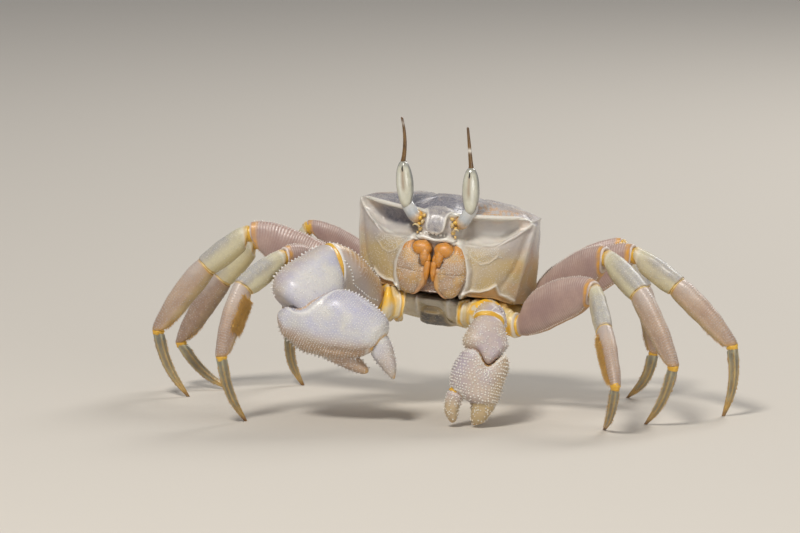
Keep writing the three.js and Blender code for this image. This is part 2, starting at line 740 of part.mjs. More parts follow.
function addEye(side, sideName) {
  const pose = eyePoses[sideName];
  const [baseX, baseY, baseZ] = eye.base;
  const base = onBody(side * baseX, baseY, baseZ);
  const eyeWay = leaning(side, pose.eyeLean);
  const neck = base.clone().addScaledVector(leaning(side, pose.stemLean), eye.stemLength);
  const eyeTop = neck.clone().addScaledVector(eyeWay, eye.corneaLength);
  const setback = new THREE.Vector3(0, eye.spineSetback, 0);

  // The stem carries a spine up behind the cornea, and the spine goes on as the horn.
  const hornPlaces = [0, 0.35, 0.7, 1];
  const horn = hornPlaces.map((place) => {
    const way = leaning(side, pose.hornLean + pose.hornBend * place);
    return eyeTop.clone().addScaledVector(way, pose.hornLength * place);
  });
  const spine = [0.12, 0.5, 0.85].map((place) => (
    neck.clone().lerp(eyeTop, place).addScaledVector(setback, 1 - 0.3 * place)
  ));
  const stemPoints = [base, base.clone().lerp(neck, 0.6), neck, ...spine, ...horn];
  const stemRadii = [
    eye.stemRadius * 0.85, eye.stemRadius, eye.stemRadius * 0.8,
    eye.spineRadius, eye.spineRadius, eye.spineRadius,
    ...hornPlaces.map((place) => mix(eye.hornRadius, eye.hornTipRadius, place)),
  ];
  const stem = levelTube(stemPoints, stemRadii, 10);
  const stemRoom = levelTube(stemPoints, stemRadii.map((radius) => radius + seam), 10);

  const corneaShares = [0.03, 0.12, 0.3, 0.5, 0.7, 0.88, 0.97];
  const corneaPoints = corneaShares.map((share) => neck.clone().lerp(eyeTop, share));
  const corneaRadii = corneaShares.map((share) => (
    eye.corneaRadius * Math.sin(Math.PI * share) ** 0.5
  ));
  const cornea = levelTube(corneaPoints, corneaRadii, 12);
  addPlate(`${sideName}_eye_stalk`, 'stem', stem);
  addPlate(`${sideName}_eye_cornea`, 'cornea', cut(cornea, stemRoom));
  sockets.push(stemRoom);
}

// ---------------------------------------------------------------- assembly

const sides = { left: 1, right: -1 };
for (const [sideName, side] of Object.entries(sides)) {
  let neighbour = addArm(side, sideName);
  for (let index = 0; index < legSizes.length; index += 1) {
    neighbour = addLeg(side, sideName, index, neighbour);
  }
  addEye(side, sideName);
}

const onStance = (geometry) => geometry.applyMatrix4(stanceMatrix);
const mouthRooms = Object.values(sides).map((side) => onStance(mouthSkin(side, seam)));
const abdomenRoom = onStance(abdomenSkin(seam));
const carapace = onStance(carapaceSkin());
const sternum = onStance(sternumSkin());
addPlate('carapace', 'shell', cut(carapace, ...mouthRooms, abdomenRoom, ...sockets));
addPlate('sternum', 'belly', cut(sternum, ...mouthRooms, abdomenRoom, ...sockets));
addPlate('abdomen', 'tail', cut(onStance(abdomenSkin()), ...sockets));
for (const [sideName, side] of Object.entries(sides)) {
  const mouth = onStance(mouthSkin(side));
  addPlate(`${sideName}_maxilliped`, 'mouth', cut(mouth, ...sockets));
}

crab.position.set(centring.x, centring.y, 0);
const group = new THREE.Group();
group.add(crab);

export default group;
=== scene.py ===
"""The looks of a life-size horned ghost crab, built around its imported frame.

Sizes are in millimetres in the crab's floor frame: it faces -Y and its own left is +X. The
trunk is laid out in a body frame that the stance carries into the floor frame. Every shell
plate is a loft whose surface is displaced by formulas, with granules, teeth and bristles
added as real geometry. Masks stored on the points tell the materials where the colours go.
"""

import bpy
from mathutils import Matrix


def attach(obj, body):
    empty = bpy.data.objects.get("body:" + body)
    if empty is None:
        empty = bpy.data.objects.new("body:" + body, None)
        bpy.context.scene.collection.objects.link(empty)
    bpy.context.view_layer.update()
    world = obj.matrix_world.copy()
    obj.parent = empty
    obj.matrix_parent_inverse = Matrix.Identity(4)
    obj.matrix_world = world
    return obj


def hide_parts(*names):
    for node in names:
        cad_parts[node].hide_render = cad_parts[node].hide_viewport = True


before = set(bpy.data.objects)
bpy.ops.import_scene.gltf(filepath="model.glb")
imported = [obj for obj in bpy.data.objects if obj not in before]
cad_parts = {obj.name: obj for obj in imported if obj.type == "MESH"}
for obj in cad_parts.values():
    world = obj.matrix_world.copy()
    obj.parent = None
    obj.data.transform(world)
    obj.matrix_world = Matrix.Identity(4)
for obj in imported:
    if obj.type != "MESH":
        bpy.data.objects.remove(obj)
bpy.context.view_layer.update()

import math
from types import SimpleNamespace

import bpy
import numpy as np
from mathutils import Matrix, Vector

# ---------------------------------------------------------------- sizes of the crab

MM = 0.001
SEAM = 0.3  # clearance between neighbouring plates
STANCE = {"pitch": 4, "roll": 6, "height": 46.8}
CENTRING = np.array([1.95, 13.17, 0])  # brings the middle of the footprint to the origin
SIDES = {"left": 1, "right": -1}

SHELL = {
    "corner_x": 21.5, "corner_y": -8.5, "face_y": -17.8, "face_curve": 2.4,
    "side_x": 22, "side_y": 19.7, "side_centre_y": -1, "side_square": 2.9, "side_taper": 0.008,
    "crown": 2.9, "floor_z": -20.1, "floor_scale": 0.8,
}
HEIGHTS = {
    "margin_middle": -0.6, "margin_corner": 0.6, "margin_rear": -3.2,
    "ridge_middle": -7.4, "ridge_corner": -1.8, "ridge_rear": -5.5,
    "rim_front": -19.4, "rim_side": -20.3, "rim_rear": -9.5,
}
ORBIT = {
    "inner": 3.6, "outer": 20.4, "depth": 4, "notch_x": 5.8, "notch_width": 1.9,
    "notch_depth": 2.6,
}

# Lines on the face in the body frame, as |x| and z.
LOWER_RIDGE = [(4.4, -7.1), (10, -7.5), (15, -6.3), (18, -4.1), (20, -1.9), (21.4, 0.1)]
GRAIN_ARC = [(7.4, -7.9), (8.5, -9.2), (10.5, -10.8), (12.1, -11.4), (13.9, -10.7), (15.3, -9)]
MOUTH_FRAME = [
    (0, -7), (3, -6.5), (5.6, -7.2), (8, -10.6), (9.3, -13.6), (9.4, -16.5), (8.6, -19),
]
PIT_LINE = [(8.6, -9.4), (12, -9), (14.4, -8)]
FOLD_LINE = [(20.6, -3), (20.2, -8), (19.6, -12), (18, -16)]
LOWER_RIM = [
    (8.8, -18.7), (11, -17.8), (13, -17.8), (15.1, -17), (16.4, -15.9),
    (17.7, -18), (19.3, -18.4), (21.2, -19.3),
]

ROSTRUM = [
    [-13.2, 1.1, 4.2], [-16.4, 0.3, 3.6], [-18.2, -0.9, 2.3],
    [-19.1, -2.6, 2.1], [-19.5, -4.2, 1.9], [-19.4, -5.2, 0.8],
]
ROSTRUM_THICKNESS = 1.1
# Small knobs beside the rostrum: |x|, z, half width, half height, yellow, white.
FEELER_KNOBS = [
    (3.4, -1.6, 0.6, 0.5, 0.55, 0.2), (4.2, -2.3, 0.62, 0.5, 0.8, 0),
    (3.6, -3.1, 0.55, 0.75, 0.2, 0.4), (4.4, -3.7, 0.5, 0.45, 0.6, 0),
    (4, -4.8, 0.6, 0.6, 0.35, 0.15), (4.6, -5.7, 0.4, 0.4, 0.5, 0.3),
]
EPISTOME = [(-3.6, -5.9), (-1.8, -5.6), (1.8, -5.6), (3.6, -5.9)]  # x and z of its row of beads
STERNUM_SEAMS = (-10.5, -6.5, -1, 4, 8.8)
ABDOMEN_SEAMS = (0.55, 1.2, 1.8, 2.6, 3.45, 4.45)  # counted in rows of ABDOMEN
STERNUM = [
    [-14.3, -21.5, 0.9, 6.5], [-11.5, -22.6, 2.1, 9.5], [-7, -23.5, 2.9, 11.8],
    [2, -23.8, 3.2, 12.6], [9, -23.4, 2.8, 11.6], [14, -22.3, 1.8, 9],
]
ABDOMEN = [
    [18.6, -10.2, 8], [17.9, -16, 8.2], [14.4, -23.4, 7.6], [6, -26.7, 6.2],
    [-3, -27.1, 4.6], [-9, -26.2, 3.5], [-13.2, -22.6, 2.6],
]
ABDOMEN_THICKNESS = 1.7
# Lumps at each leg's socket: outwards, rearwards and up from it, half width, half height.
LEG_ROOT_LUMPS = [(0.6, -2.2, 2.2, 1.9, 1.7), (3, 0.2, 2.4, 1.8, 1.5), (1.5, 1.8, 1.6, 1.6, 1.6)]
MOUTH_SHIELD = {"x": 4.7, "y": -17.9, "top": -7.6, "bottom": -20.2, "wide": 3.7, "deep": 2.4}
PALP = {"x": 0.82, "y": -19, "top": -10, "bottom": -16.6, "wide": 0.82, "deep": 1.2}
MOUTH_LOBES = [
    {"x": 2.7, "y": -18.2, "top": -7.2, "bottom": -11.1, "wide": 2.45, "deep": 2.1},
    {"x": 1.75, "y": -18.9, "top": -8.4, "bottom": -13.2, "wide": 1.15, "deep": 1.6},
]

EYE = {
    "base": (5.7, -16.9, -2.2), "stem_length": 3.6, "cornea_length": 10.2, "cornea_overlap": 1,
    "cornea_radius": 2.15, "spine_setback": 1.5, "horn_radius": 0.55, "horn_tip_radius": 0.28,
}
# Leans in degrees, the horn's length, and the place and strength of its pale ring.
EYE_POSES = {
    "left": {"stem_lean": 36, "eye_lean": 0.5, "horn_lean": -5, "horn_bend": 0, "horn": 9.6,
             "ring": 0.42, "ring_paleness": 0.9},
    "right": {"stem_lean": 36, "eye_lean": 4.5, "horn_lean": -11, "horn_bend": 13, "horn": 10.4,
              "ring": 0.86, "ring_paleness": 0.35},
}

# Walking legs, front to rear: socket and hip (body frame, left side), plate lengths, breadth.
LEG_SIZES = [
    {"socket": (12.5, -8.5, -24), "hip": (20.5, -9, -25), "lengths": (26, 14, 17, 17.4),
     "breadth": 0.96},
    {"socket": (13, -0.5, -24.2), "hip": (21, 0.5, -24), "lengths": (30.2, 13.4, 20, 17.2),
     "breadth": 1},
    {"socket": (12.5, 7, -24), "hip": (20.2, 9, -23.5), "lengths": (31, 13, 19.6, 16.6),
     "breadth": 0.95},
    {"socket": (9.5, 13.2, -22.5), "hip": (17, 16, -21.5), "lengths": (26, 11.5, 16, 12.6),
     "breadth": 0.62},
]
# Postures: swing of the merus, turn below the knee, then the slopes of three plates.
LEG_POSES = {
    "left": [(-29, -37, 23, -34, -40), (-31, -5, 34, -33, -53), (-15, 2, 31, -32, -43),
             (12, -20, 33, -62, -80)],
    "right": [(-60, 2, 29, -26, -66), (-8, 5, 29, -38, -53), (-1, 8, 22, -48, -56),
              (12, 4, 29, -70, -84)],
}
COXA = [[0, 3, 3], [0.5, 3.5, 3.3], [1, 2.7, 2.4]]
MERUS = [[0, 2.4, 1.9], [0.13, 3.9, 2.2], [0.36, 5, 2.2], [0.62, 4.9, 2.1], [0.84, 4.1, 2],
         [1, 2.7, 1.8]]
CARPUS = [[0, 2.1, 1.7], [0.3, 2.8, 2], [0.75, 3, 2.1], [1, 2.75, 2]]
PROPODUS = [[0, 2.65, 1.9], [0.18, 3, 1.95], [0.55, 2.8, 1.8], [0.86, 2.1, 1.5], [1, 1.55, 1.3]]
DACTYL = [[0, 1.35, 1.05], [0.22, 1.25, 1], [0.52, 1.05, 0.85], [0.8, 0.75, 0.62],
          [1, 0.42, 0.42]]
BRUSH_ENDS = {"left": 1, "right": 0.66}  # how far down the shins of the first legs
BOWS = {"merus": 1.2, "propodus": 0.4, "dactyl": 1.3}

# Claw arms: azimuth, slope and length of two plates, then how the hand's plane is turned.
ARM_SIZES = {
    "left": {"socket": (6.5, -12.6, -23.6), "hip": (15, -12.6, -23.2), "merus": (-80, 4, 16.5),
             "carpus": (-92, -56, 9), "outward": (14, 6), "spin": -105, "thumb": -1,
             "breadth": 0.72},
    "right": {"socket": (6.5, -12.8, -23.6), "hip": (13, -14.4, -23.4), "merus": (-64, 33, 19),
              "carpus": (-49, -41, 15.2), "outward": (4, 10), "spin": -33, "thumb": 1,
              "breadth": 1},
}
ARM_COXA = [[0, 4, 3.8], [0.3, 4, 3.8], [0.68, 4.7, 4.5], [1, 3.3, 3.1]]
ARM_MERUS = [[0, 3.2, 3], [0.3, 4.4, 3.5], [0.75, 5.4, 3.9], [1, 5.2, 3.6]]
ARM_CARPUS = [[0, 5, 3.6], [0.3, 7, 4.7], [0.72, 8.3, 5.1], [1, 6.3, 4.3]]

# Hands: along the axis, aside, half breadth, half thickness, inwards.
HANDS = {
    "left": {
        "palm": [[-0.9, -0.4, 4.2, 2.8, 0], [1.2, -0.3, 5.7, 3.4, 0], [5, -0.1, 6.2, 3.7, 0],
                 [8.6, -0.4, 5.8, 3.5, 0], [11.6, -1.8, 3.8, 2.9, 0]],
        "thumb": [[8, -2.7, 3.3, 2.8, 0], [12, -2.9, 2.5, 2.2, 0.2], [14.8, -2.6, 1.6, 1.5, 0.4],
                  [16.2, -2.2, 0.8, 0.8, 0.5]],
        "finger": [[9.4, 3.8, 1.9, 1.9, 0.2], [12.4, 4, 1.8, 1.7, 0.3], [15.4, 3.6, 1.4, 1.3, 0.4],
                   [17, 3, 0.8, 0.8, 0.5]],
    },
    "right": {
        "palm": [[-2.5, -2.2, 1.6, 1.9, 0], [0.5, -2.2, 3.2, 3.1, 0], [3.5, 0.3, 6.4, 4.3, 0],
                 [8.6, 2.5, 8.7, 5.1, 0], [13.8, 3.9, 7.9, 4.9, 0], [18.4, 5.2, 6.2, 4.1, 0],
                 [22, 6.5, 3.7, 3, 0]],
        "thumb": [[11, -2, 3.2, 3.2, 1], [16, -2.1, 2.3, 2.4, 1.6], [19.8, -2.1, 1.6, 1.7, 2],
                  [22.6, -1.9, 0.75, 0.8, 2.3]],
        "finger": [[20.4, 5.4, 3, 2.6, 0.4], [23.4, 4.1, 2.8, 2.3, 0.7], [26.6, 2.3, 1.9, 1.6, 1],
                   [28.9, 0.6, 0.7, 0.7, 1.2]],
    },
}

# Low round grains: how many, radius, height, how pale, gap in radii, and the seed.
GRAINS = {
    "left claw merus": (302, 0.15, 0.09, 0.55, 1.7, 51),
    "right claw merus": (420, 0.15, 0.09, 0.55, 1.7, 51),
    "left claw thumb": (160, 0.23, 0.16, 0.6, 1.7, 111),
    "right claw thumb": (300, 0.16, 0.1, 0.6, 1.7, 111),
    "left claw finger": (120, 0.23 * 0.9, 0.16, 0.85, 1.7, 121),
    "right claw finger": (230, 0.16 * 0.9, 0.1, 0.85, 1.7, 121),
    "face": (1500, 0.13, 0.08, 0.45, 1.7, 201),
    "pit": (300, 0.16, 0.1, 0.6, 1.7, 202),
    "flank": (1500, 0.13, 0.07, 0.35, 1.7, 203),
    "dome": (4200, 0.15, 0.08, 0.3, 1.9, 204),
    "orbit rim": (200, 0.11, 0.08, 0.8, 1.7, 205),
    "rostrum": (420, 0.09, 0.06, 0.4, 1.7, 211),
    "sternum": (700, 0.16, 0.09, 0.6, 1.7, 221),
    "abdomen": (260, 0.14, 0.08, 0.4, 1.7, 231),
    "mouth shield": (300, 0.17, 0.12, 0.5, 1.9, 241),
    "mouth lobe": (60, 0.12, 0.07, 0.2, 2.2, 260),
}
# Rows of teeth on the claw arms: the column, start and end along the plate, then spacing, radius
# and height at the large claw's size, and how pale. Column 0 is the upper edge, and on the thumb
# it is the edge that faces the finger.
TEETH = {
    "merus": [(column, 0.15, 0.94, 0.95, 0.27, 0.4, 0.95) for column in (0, 0.25, 0.5, 0.75)],
    "carpus": [(column, 0.1, 0.96, 0.95, 0.32, 0.6, 0.95) for column in (0, 0.5)],
    "left palm": [(0, 0.08, 0.92, 0.85, 0.3, 0.42, 0.95), (0.5, 0.05, 0.92, 0.95, 0.34, 0.6, 1)],
    "right palm": [(0, 0.4, 0.92, 0.85, 0.3, 0.42, 0.95), (0.5, 0.05, 0.92, 0.95, 0.34, 0.6, 1)],
    "thumb": [(0, 0.35, 0.95, 1.1, 0.4, 0.45, 0.9), (0.5, 0.1, 0.85, 0.9, 0.25, 0.4, 1)],
    "finger": [(0.5, 0.2, 0.92, 1, 0.35, 0.4, 0.9), (0, 0.1, 0.8, 0.8, 0.24, 0.38, 1)],
}
# What differs between the two claws' finish. tan is the brown of the lower edges, grains are
# radius and height, and the wrist line is the width of the yellow seam.
CLAW_FINISH = {
    "left": {
        "look": "small claw", "merus_tan": 0, "merus_dusk": 0.6, "carpus_breadth": 0.86,
        "carpus_grain": (0.21, 0.13), "palm_columns": 96, "palm_ends": (1.6, 2.2), "palm_tan": 0.5,
        "tan_slant": 0, "tan_edge": (0.15, 0.9), "wrist_line": 1.15, "palm_groove": 0,
        "finger_tan": 0.75, "palm_grain": (0.23, 0.16), "palm_pitch": 0.68, "palm_pale": 0.85,
    },
    "right": {
        "look": "claw", "merus_tan": 0.35, "merus_dusk": 0, "carpus_breadth": 1,
        "carpus_grain": (0.15, 0.09), "palm_columns": 128, "palm_ends": (2.2, 2.4), "palm_tan": 0.85,
        "tan_slant": 0.25, "tan_edge": (0.3, 0.95), "wrist_line": 0.75, "palm_groove": 0.5,
        "finger_tan": 0.35, "palm_grain": (0.16, 0.1), "palm_pitch": 0.6, "palm_pale": 0.7,
    },
}

# ---------------------------------------------------------------- small helpers

UP = np.array([0.0, 0.0, 1.0])
SIDEWAYS = np.array([1.0, 0.0, 0.0])
REARWARD = np.array([0.0, 1.0, 0.0])
# Besides real colour, pale carries some painted highlights and dusk some painted shade, as marked where
# they are painted.
MASKS = ("warm", "pale", "under", "dusk")
GRAIN_PATCH, BRISTLE_PATCH = 0.002, 0.0015  # how far each one's patch reaches on the map
DROOP = 0.15  # how far a bristle bends, as a share of its length
THIRDS = (0, 2.094, 4.189)  # of a turn, in radians: the three corners of a bristle


def unit(v):
    return v / np.linalg.norm(v, axis=-1, keepdims=True)


def mix(a, b, share):
    return a + (b - a) * share


def ramp(x, low, high):
    """A smooth step from 0 at low to 1 at high."""
    t = np.clip((x - low) / (high - low), 0, 1)
    return t * t * (3 - 2 * t)


def hill(x, centre, width):
    return np.exp(-(((x - centre) / width) ** 2))


def signed_power(x, power):
    return np.sign(x) * np.abs(x) ** power


def fall(x, low, high):
    """A smooth step from 1 at low to 0 at high."""
    return 1 - ramp(x, low, high)


def between(x, low, rise_end, fall_start, high):
    """Rises from low to rise_end, then falls from fall_start to high."""
    return ramp(x, low, rise_end) * fall(x, fall_start, high)


def around_ring(count, square=2):
    """The angles of a ring, and how far each point lies along its two axes.

    square is 2 for an ellipse, and more for a ring with fuller corners.
    """
    angle = np.arange(count) * 2 * math.pi / count
    return angle, signed_power(np.cos(angle), 2 / square), signed_power(np.sin(angle), 2 / square)


def ring_points(first, u, half, second, v, other):
    """A ring for each row: u times half along first, and v times other along second."""
    first, second = np.atleast_2d(first)[:, None], np.atleast_2d(second)[:, None]
    return (first * (u[None] * np.atleast_1d(half)[:, None])[..., None]
            + second * (v[None] * np.atleast_1d(other)[:, None])[..., None])


def across_pair(ways, hint):
    """Two directions at right angles to each way and to each other."""
    first = unit(np.cross(ways, hint))
    return first, np.cross(ways, first)


def heading(side, azimuth, slope):
    a, s = math.radians(azimuth), math.radians(slope)
    return np.array([side * math.cos(a) * math.cos(s), math.sin(a) * math.cos(s), math.sin(s)])


def stance_turn():
    pitch, roll = math.radians(-STANCE["pitch"]), math.radians(STANCE["roll"])
    return np.array(Matrix.Rotation(roll, 3, "Y") @ Matrix.Rotation(pitch, 3, "X"))


STANCE_TURN = stance_turn()


def on_body(points):
    """Body-frame points in the floor frame."""
    return np.asarray(points, float) @ STANCE_TURN.T + [0, 0, STANCE["height"]]


def through(rows, places):
    """Smooth values through rows of [place, value, ...], read at other places."""
    rows = np.asarray(rows, float)
    x, y = rows[:, 0], rows[:, 1:]
    slope = np.diff(y, axis=0) / np.diff(x)[:, None]
    tangent = np.vstack([slope[:1], (slope[:-1] + slope[1:]) / 2, slope[-1:]])
    flat = np.vstack([slope[:1] * 0 + 1, slope[:-1] * slope[1:], slope[:1] * 0 + 1]) <= 0
    tangent[flat] = 0
    places = np.clip(places, x[0], x[-1])
    i = np.clip(np.searchsorted(x, places, side="right") - 1, 0, len(x) - 2)
    h = (x[i + 1] - x[i])[:, None]
    t = (places - x[i])[:, None] / h
    start = (2 * t**3 - 3 * t**2 + 1) * y[i] + (t**3 - 2 * t**2 + t) * h * tangent[i]
    return start + (3 * t**2 - 2 * t**3) * y[i + 1] + (t**3 - t**2) * h * tangent[i + 1]


def wobble(points, size, seed):
    """Soft lumps between about -1 and 1, with a given size in mm."""
    dice = np.random.RandomState(seed)
    total = np.zeros(points.shape[:-1])
    for _ in range(6):
        way = unit(dice.normal(size=3)) * 2 * math.pi / (size * dice.uniform(0.7, 1.5))
        total += np.sin(points @ way + dice.uniform(0, 6.28))
    return total / 3


def line_distance(x, z, line):
    """Distance from each (x, z) to a bent line."""
    line = np.asarray(line, float)
    best = np.full(x.shape, 1e9)
    for (x0, z0), (x1, z1) in zip(line[:-1], line[1:]):
        dx, dz = x1 - x0, z1 - z0
        t = np.clip(((x - x0) * dx + (z - z0) * dz) / (dx * dx + dz * dz), 0, 1)
        best = np.minimum(best, np.hypot(x - x0 - t * dx, z - z0 - t * dz))
    return best


# ---------------------------------------------------------------- skins and pieces

class Skin:
    """A closed loft: rows of points that travel from one pole to the other.

    up x across is the direction of travel, so that the faces look outwards. along holds the
    place of each row, from 0 to 1.
    """

    def __init__(self, grid, along=None):
        self.grid = np.asarray(grid, float)
        rows, columns = self.grid.shape[:2]
        self.along = np.linspace(0, 1, rows) if along is None else np.asarray(along)
        self.masks = np.zeros((rows, columns, len(MASKS)))

    def normals(self):
        around = np.roll(self.grid, -1, 1) - np.roll(self.grid, 1, 1)
        travel = np.gradient(self.grid, axis=0)
        cross = np.cross(around, travel)
        size = np.linalg.norm(cross, axis=-1, keepdims=True)
        return cross / np.maximum(size, 1e-9)

    def push(self, height):
        height = np.broadcast_to(height, self.masks.shape[:2])
        self.grid = self.grid + self.normals() * height[..., None]

    def paint(self, mask, amount):
        layer = self.masks[..., MASKS.index(mask)]
        np.maximum(layer, np.clip(amount, 0, 1), out=layer)

    def at(self, rows, columns):
        """Points, normals, masks and map places at fractional rows and columns."""
        count = self.grid.shape[1]
        i = np.clip(np.floor(rows).astype(int), 0, len(self.grid) - 2)
        j = np.floor(columns).astype(int) % count
        k = (j + 1) % count
        s, t = (rows - i)[:, None], (columns - np.floor(columns))[:, None]

        def blend(values):
            return ((1 - s) * (1 - t) * values[i, j] + s * (1 - t) * values[i + 1, j]
                    + (1 - s) * t * values[i, k] + s * t * values[i + 1, k])

        along = mix(self.along[i], self.along[i + 1], s[:, 0])
        places = np.stack([(columns % count) / count, along], 1)
        return blend(self.grid), unit(blend(self.normals())), blend(self.masks), places

    def scatter(self, weight, number, dice):
        """Random places where weight is high: their points, normals, masks and map places."""
        grid, count = self.grid, self.grid.shape[1]
        area = np.linalg.norm(np.cross(np.roll(grid, -1, 1)[:-1] - grid[:-1], grid[1:] - grid[:-1]),
                              axis=-1)
        chance = (area * np.broadcast_to(weight, grid.shape[:2])[:-1]).ravel()
        picks = dice.choice(len(chance), number, p=chance / chance.sum())
        return self.at(picks // count + dice.rand(number), picks % count + dice.rand(number))


def small_solid(around):
    """Quads and triangles of a solid made of three rings of points and a tip."""
    j = np.arange(around)
    k = (j + 1) % around
    quads = np.concatenate([np.stack([j + r, k + r, k + r + around, j + r + around], 1)
                            for r in (0, around)])
    return quads, np.stack([j + 2 * around, k + 2 * around, np.full(around, 3 * around)], 1)


class Piece:
    """Collects skins, granules and bristles into one mesh."""

    def __init__(self, name, *skins):
        self.name = name
        self.points, self.masks, self.corners, self.sizes, self.maps = [], [], [], [], []
        self.count = 0
        for skin in skins:
            self.skin(skin)

    def add(self, points, masks, faces, maps):
        """faces is an array of point numbers, and maps holds each corner's place."""
        self.points.append(points.reshape(-1, 3))
        self.masks.append(masks.reshape(-1, len(MASKS)))
        self.corners.append(faces.ravel() + self.count)
        self.sizes.append(np.full(len(faces), faces.shape[1]))
        self.maps.append(maps.reshape(-1, 2))
        self.count += len(self.points[-1])

    def skin(self, skin):
        rows, columns = skin.grid.shape[:2]
        i, j = np.meshgrid(np.arange(rows - 1), np.arange(columns), indexing="ij")
        k = (j + 1) % columns
        quads = np.stack([i * columns + j, i * columns + k, (i + 1) * columns + k,
                          (i + 1) * columns + j], -1).reshape(-1, 4)
        left, right = j / columns, (j + 1) / columns
        low, high = skin.along[i], skin.along[i + 1]
        maps = np.stack([left, low, right, low, right, high, left, high], -1)
        base = self.count
        self.add(skin.grid, skin.masks, quads, inside(maps.reshape(-1, 2)))
        j = np.arange(columns)
        k = (j + 1) % columns
        for row, flip in ((0, True), (rows - 1, False)):
            ring = base + row * columns
            pair = (k, j) if flip else (j, k)
            pole = np.full(columns, 0)
            faces = np.stack([pole, ring + pair[0] - self.count, ring + pair[1] - self.count], 1)
            place = inside(np.full((columns * 3, 2), [0.5, skin.along[row]]))
            self.add(skin.grid[row].mean(0)[None], skin.masks[row].mean(0)[None], faces, place)

    def copies(self, cloud, masks, around, places, patch):
        """Many small solids with a given number of points around, each on its own map patch."""
        base = (np.arange(len(cloud)) * cloud.shape[1])[:, None, None]
        start = self.count
        for faces in small_solid(around):
            maps = places[:, None, None] + patch[faces][None]
            numbers = faces[None] + base + start - self.count
            self.add(cloud, masks, numbers.reshape(-1, faces.shape[1]), inside(maps.reshape(-1, 2)))
            cloud, masks = cloud[:0], masks[:0]  # the second set of faces adds no points

    def studs(self, skin, kind, weight, seed_shift=0):
        """Scatters low round grains over a skin, where weight is high."""
        number, radius, height, pale, gap, seed = GRAINS[kind]
        dice = np.random.RandomState(seed + seed_shift)
        found = skin.scatter(weight, number * 2, dice)
        size = radius * dice.uniform(0.7, 1.25, number * 2)
        keep = spaced(found[0], radius * gap, number)
        self.grains(*(values[keep] for values in found), size[keep], height / radius, pale)

    def row_of_studs(self, skin, column, start, end, spacing, radius, height, pale, lean=0.0):
        """Sets teeth along one column of a skin, between two shares of its rows."""
        count = skin.grid.shape[1]
        rows = np.linspace(start, end, 200) * (len(skin.grid) - 1)
        points = skin.at(rows, np.full(200, column * count))[0]
        run = np.concatenate([[0], np.cumsum(np.linalg.norm(np.diff(points, axis=0), axis=1))])
        wanted = np.arange(spacing / 2, run[-1], spacing)
        rows = np.interp(wanted, run, rows)
        points, normals, masks, places = skin.at(rows, np.full(len(rows), column * count))
        size = radius * (1 + 0.15 * np.sin(np.arange(len(rows)) * 2.1))
        travel = unit(np.gradient(points, axis=0))
        self.grains(points, unit(normals + lean * travel), masks, places, size, height / radius,
                    pale, sharp=1)

    def teeth(self, skin, kind, scale):
        """All the rows of teeth of one kind of plate."""
        for column, start, end, spacing, radius, height, pale in TEETH[kind]:
            self.row_of_studs(skin, column, start, end, spacing * scale, radius * scale,
                              height * scale, pale)

    def grain_rows(self, skin, pitch, spacing, radius, height, weight, pale=0.6, seed=1, slant=0.0,
                   stray=1.0):
        """Sets low grains in rows across a limb, thinned out where weight is low."""
        dice = np.random.RandomState(seed)
        last, count = len(skin.grid) - 1, skin.grid.shape[1]
        run, number = skin.run[:, 0], np.arange(last + 1)
        around = np.linalg.norm(skin.grid - np.roll(skin.grid, 1, 1), axis=-1).sum(1)
        rows, columns = [], []
        for k, at in enumerate(np.arange(run[0] + pitch, run[-1] - pitch / 2, pitch)):
            row = np.interp(at, run, number)
            beads = max(4, int(around[int(row)] / spacing))
            offset = 0.5 * (k % 2) + dice.uniform(-0.34, 0.34, beads) * stray
            turn = (np.arange(beads) + offset) / beads
            skew = slant * np.cos(2 * math.pi * turn)
            rows.append(row + skew + dice.uniform(-1, 1, beads) * stray)
            columns.append(turn % 1 * count)
        rows, columns = np.clip(np.concatenate(rows), 0, last - 0.01), np.concatenate(columns)
        weights = np.broadcast_to(weight, skin.grid.shape[:2])
        chance = weights[rows.astype(int), columns.astype(int) % count]
        keep = dice.rand(len(rows)) < 0.92 * chance
        points, normals, masks, places = skin.at(rows[keep], columns[keep])
        size = radius * (1 + stray * dice.uniform(-0.4, 0.3, len(points)))
        self.grains(points, normals, masks, places, size, height / radius, pale)

    def grains(self, points, normals, masks, places, sizes, slender, pale, sharp=0):
        """Low domes, or teeth where sharp is 1, standing on a surface."""
        around, sunk = 6, -0.25
        levels = ((1.0, sunk), (0.95 - 0.15 * sharp, 0.35), (0.62 - 0.2 * sharp, 0.8))
        first, second = across_pair(normals, unit(np.array([0.31, 0.52, 0.79])))
        angles, u, v = around_ring(around)
        rings = []
        for wide, tall in levels:
            ring = first[:, None] * u[:, None] + second[:, None] * v[:, None]
            lift = normals[:, None] * (tall * slender * sizes)[:, None, None]
            rings.append(points[:, None] + ring * (wide * sizes)[:, None, None] + lift)
        tip = (points + normals * (slender * sizes)[:, None])[:, None]
        cloud = np.concatenate(rings + [tip], 1)
        tint = np.repeat(masks[:, None], cloud.shape[1], 1)
        lifted = np.concatenate([np.full(around, 0.2), np.full(around, 0.8), np.ones(around + 1)])
        column = MASKS.index("pale")
        tint[..., column] = np.maximum(tint[..., column], pale * lifted)
        patch = np.concatenate([np.stack([np.cos(angles), np.sin(angles)], 1) * w
                                for w in (1.0, 0.8, 0.5)] + [np.zeros((1, 2))]) * GRAIN_PATCH
        self.copies(cloud, tint, around, places, patch)

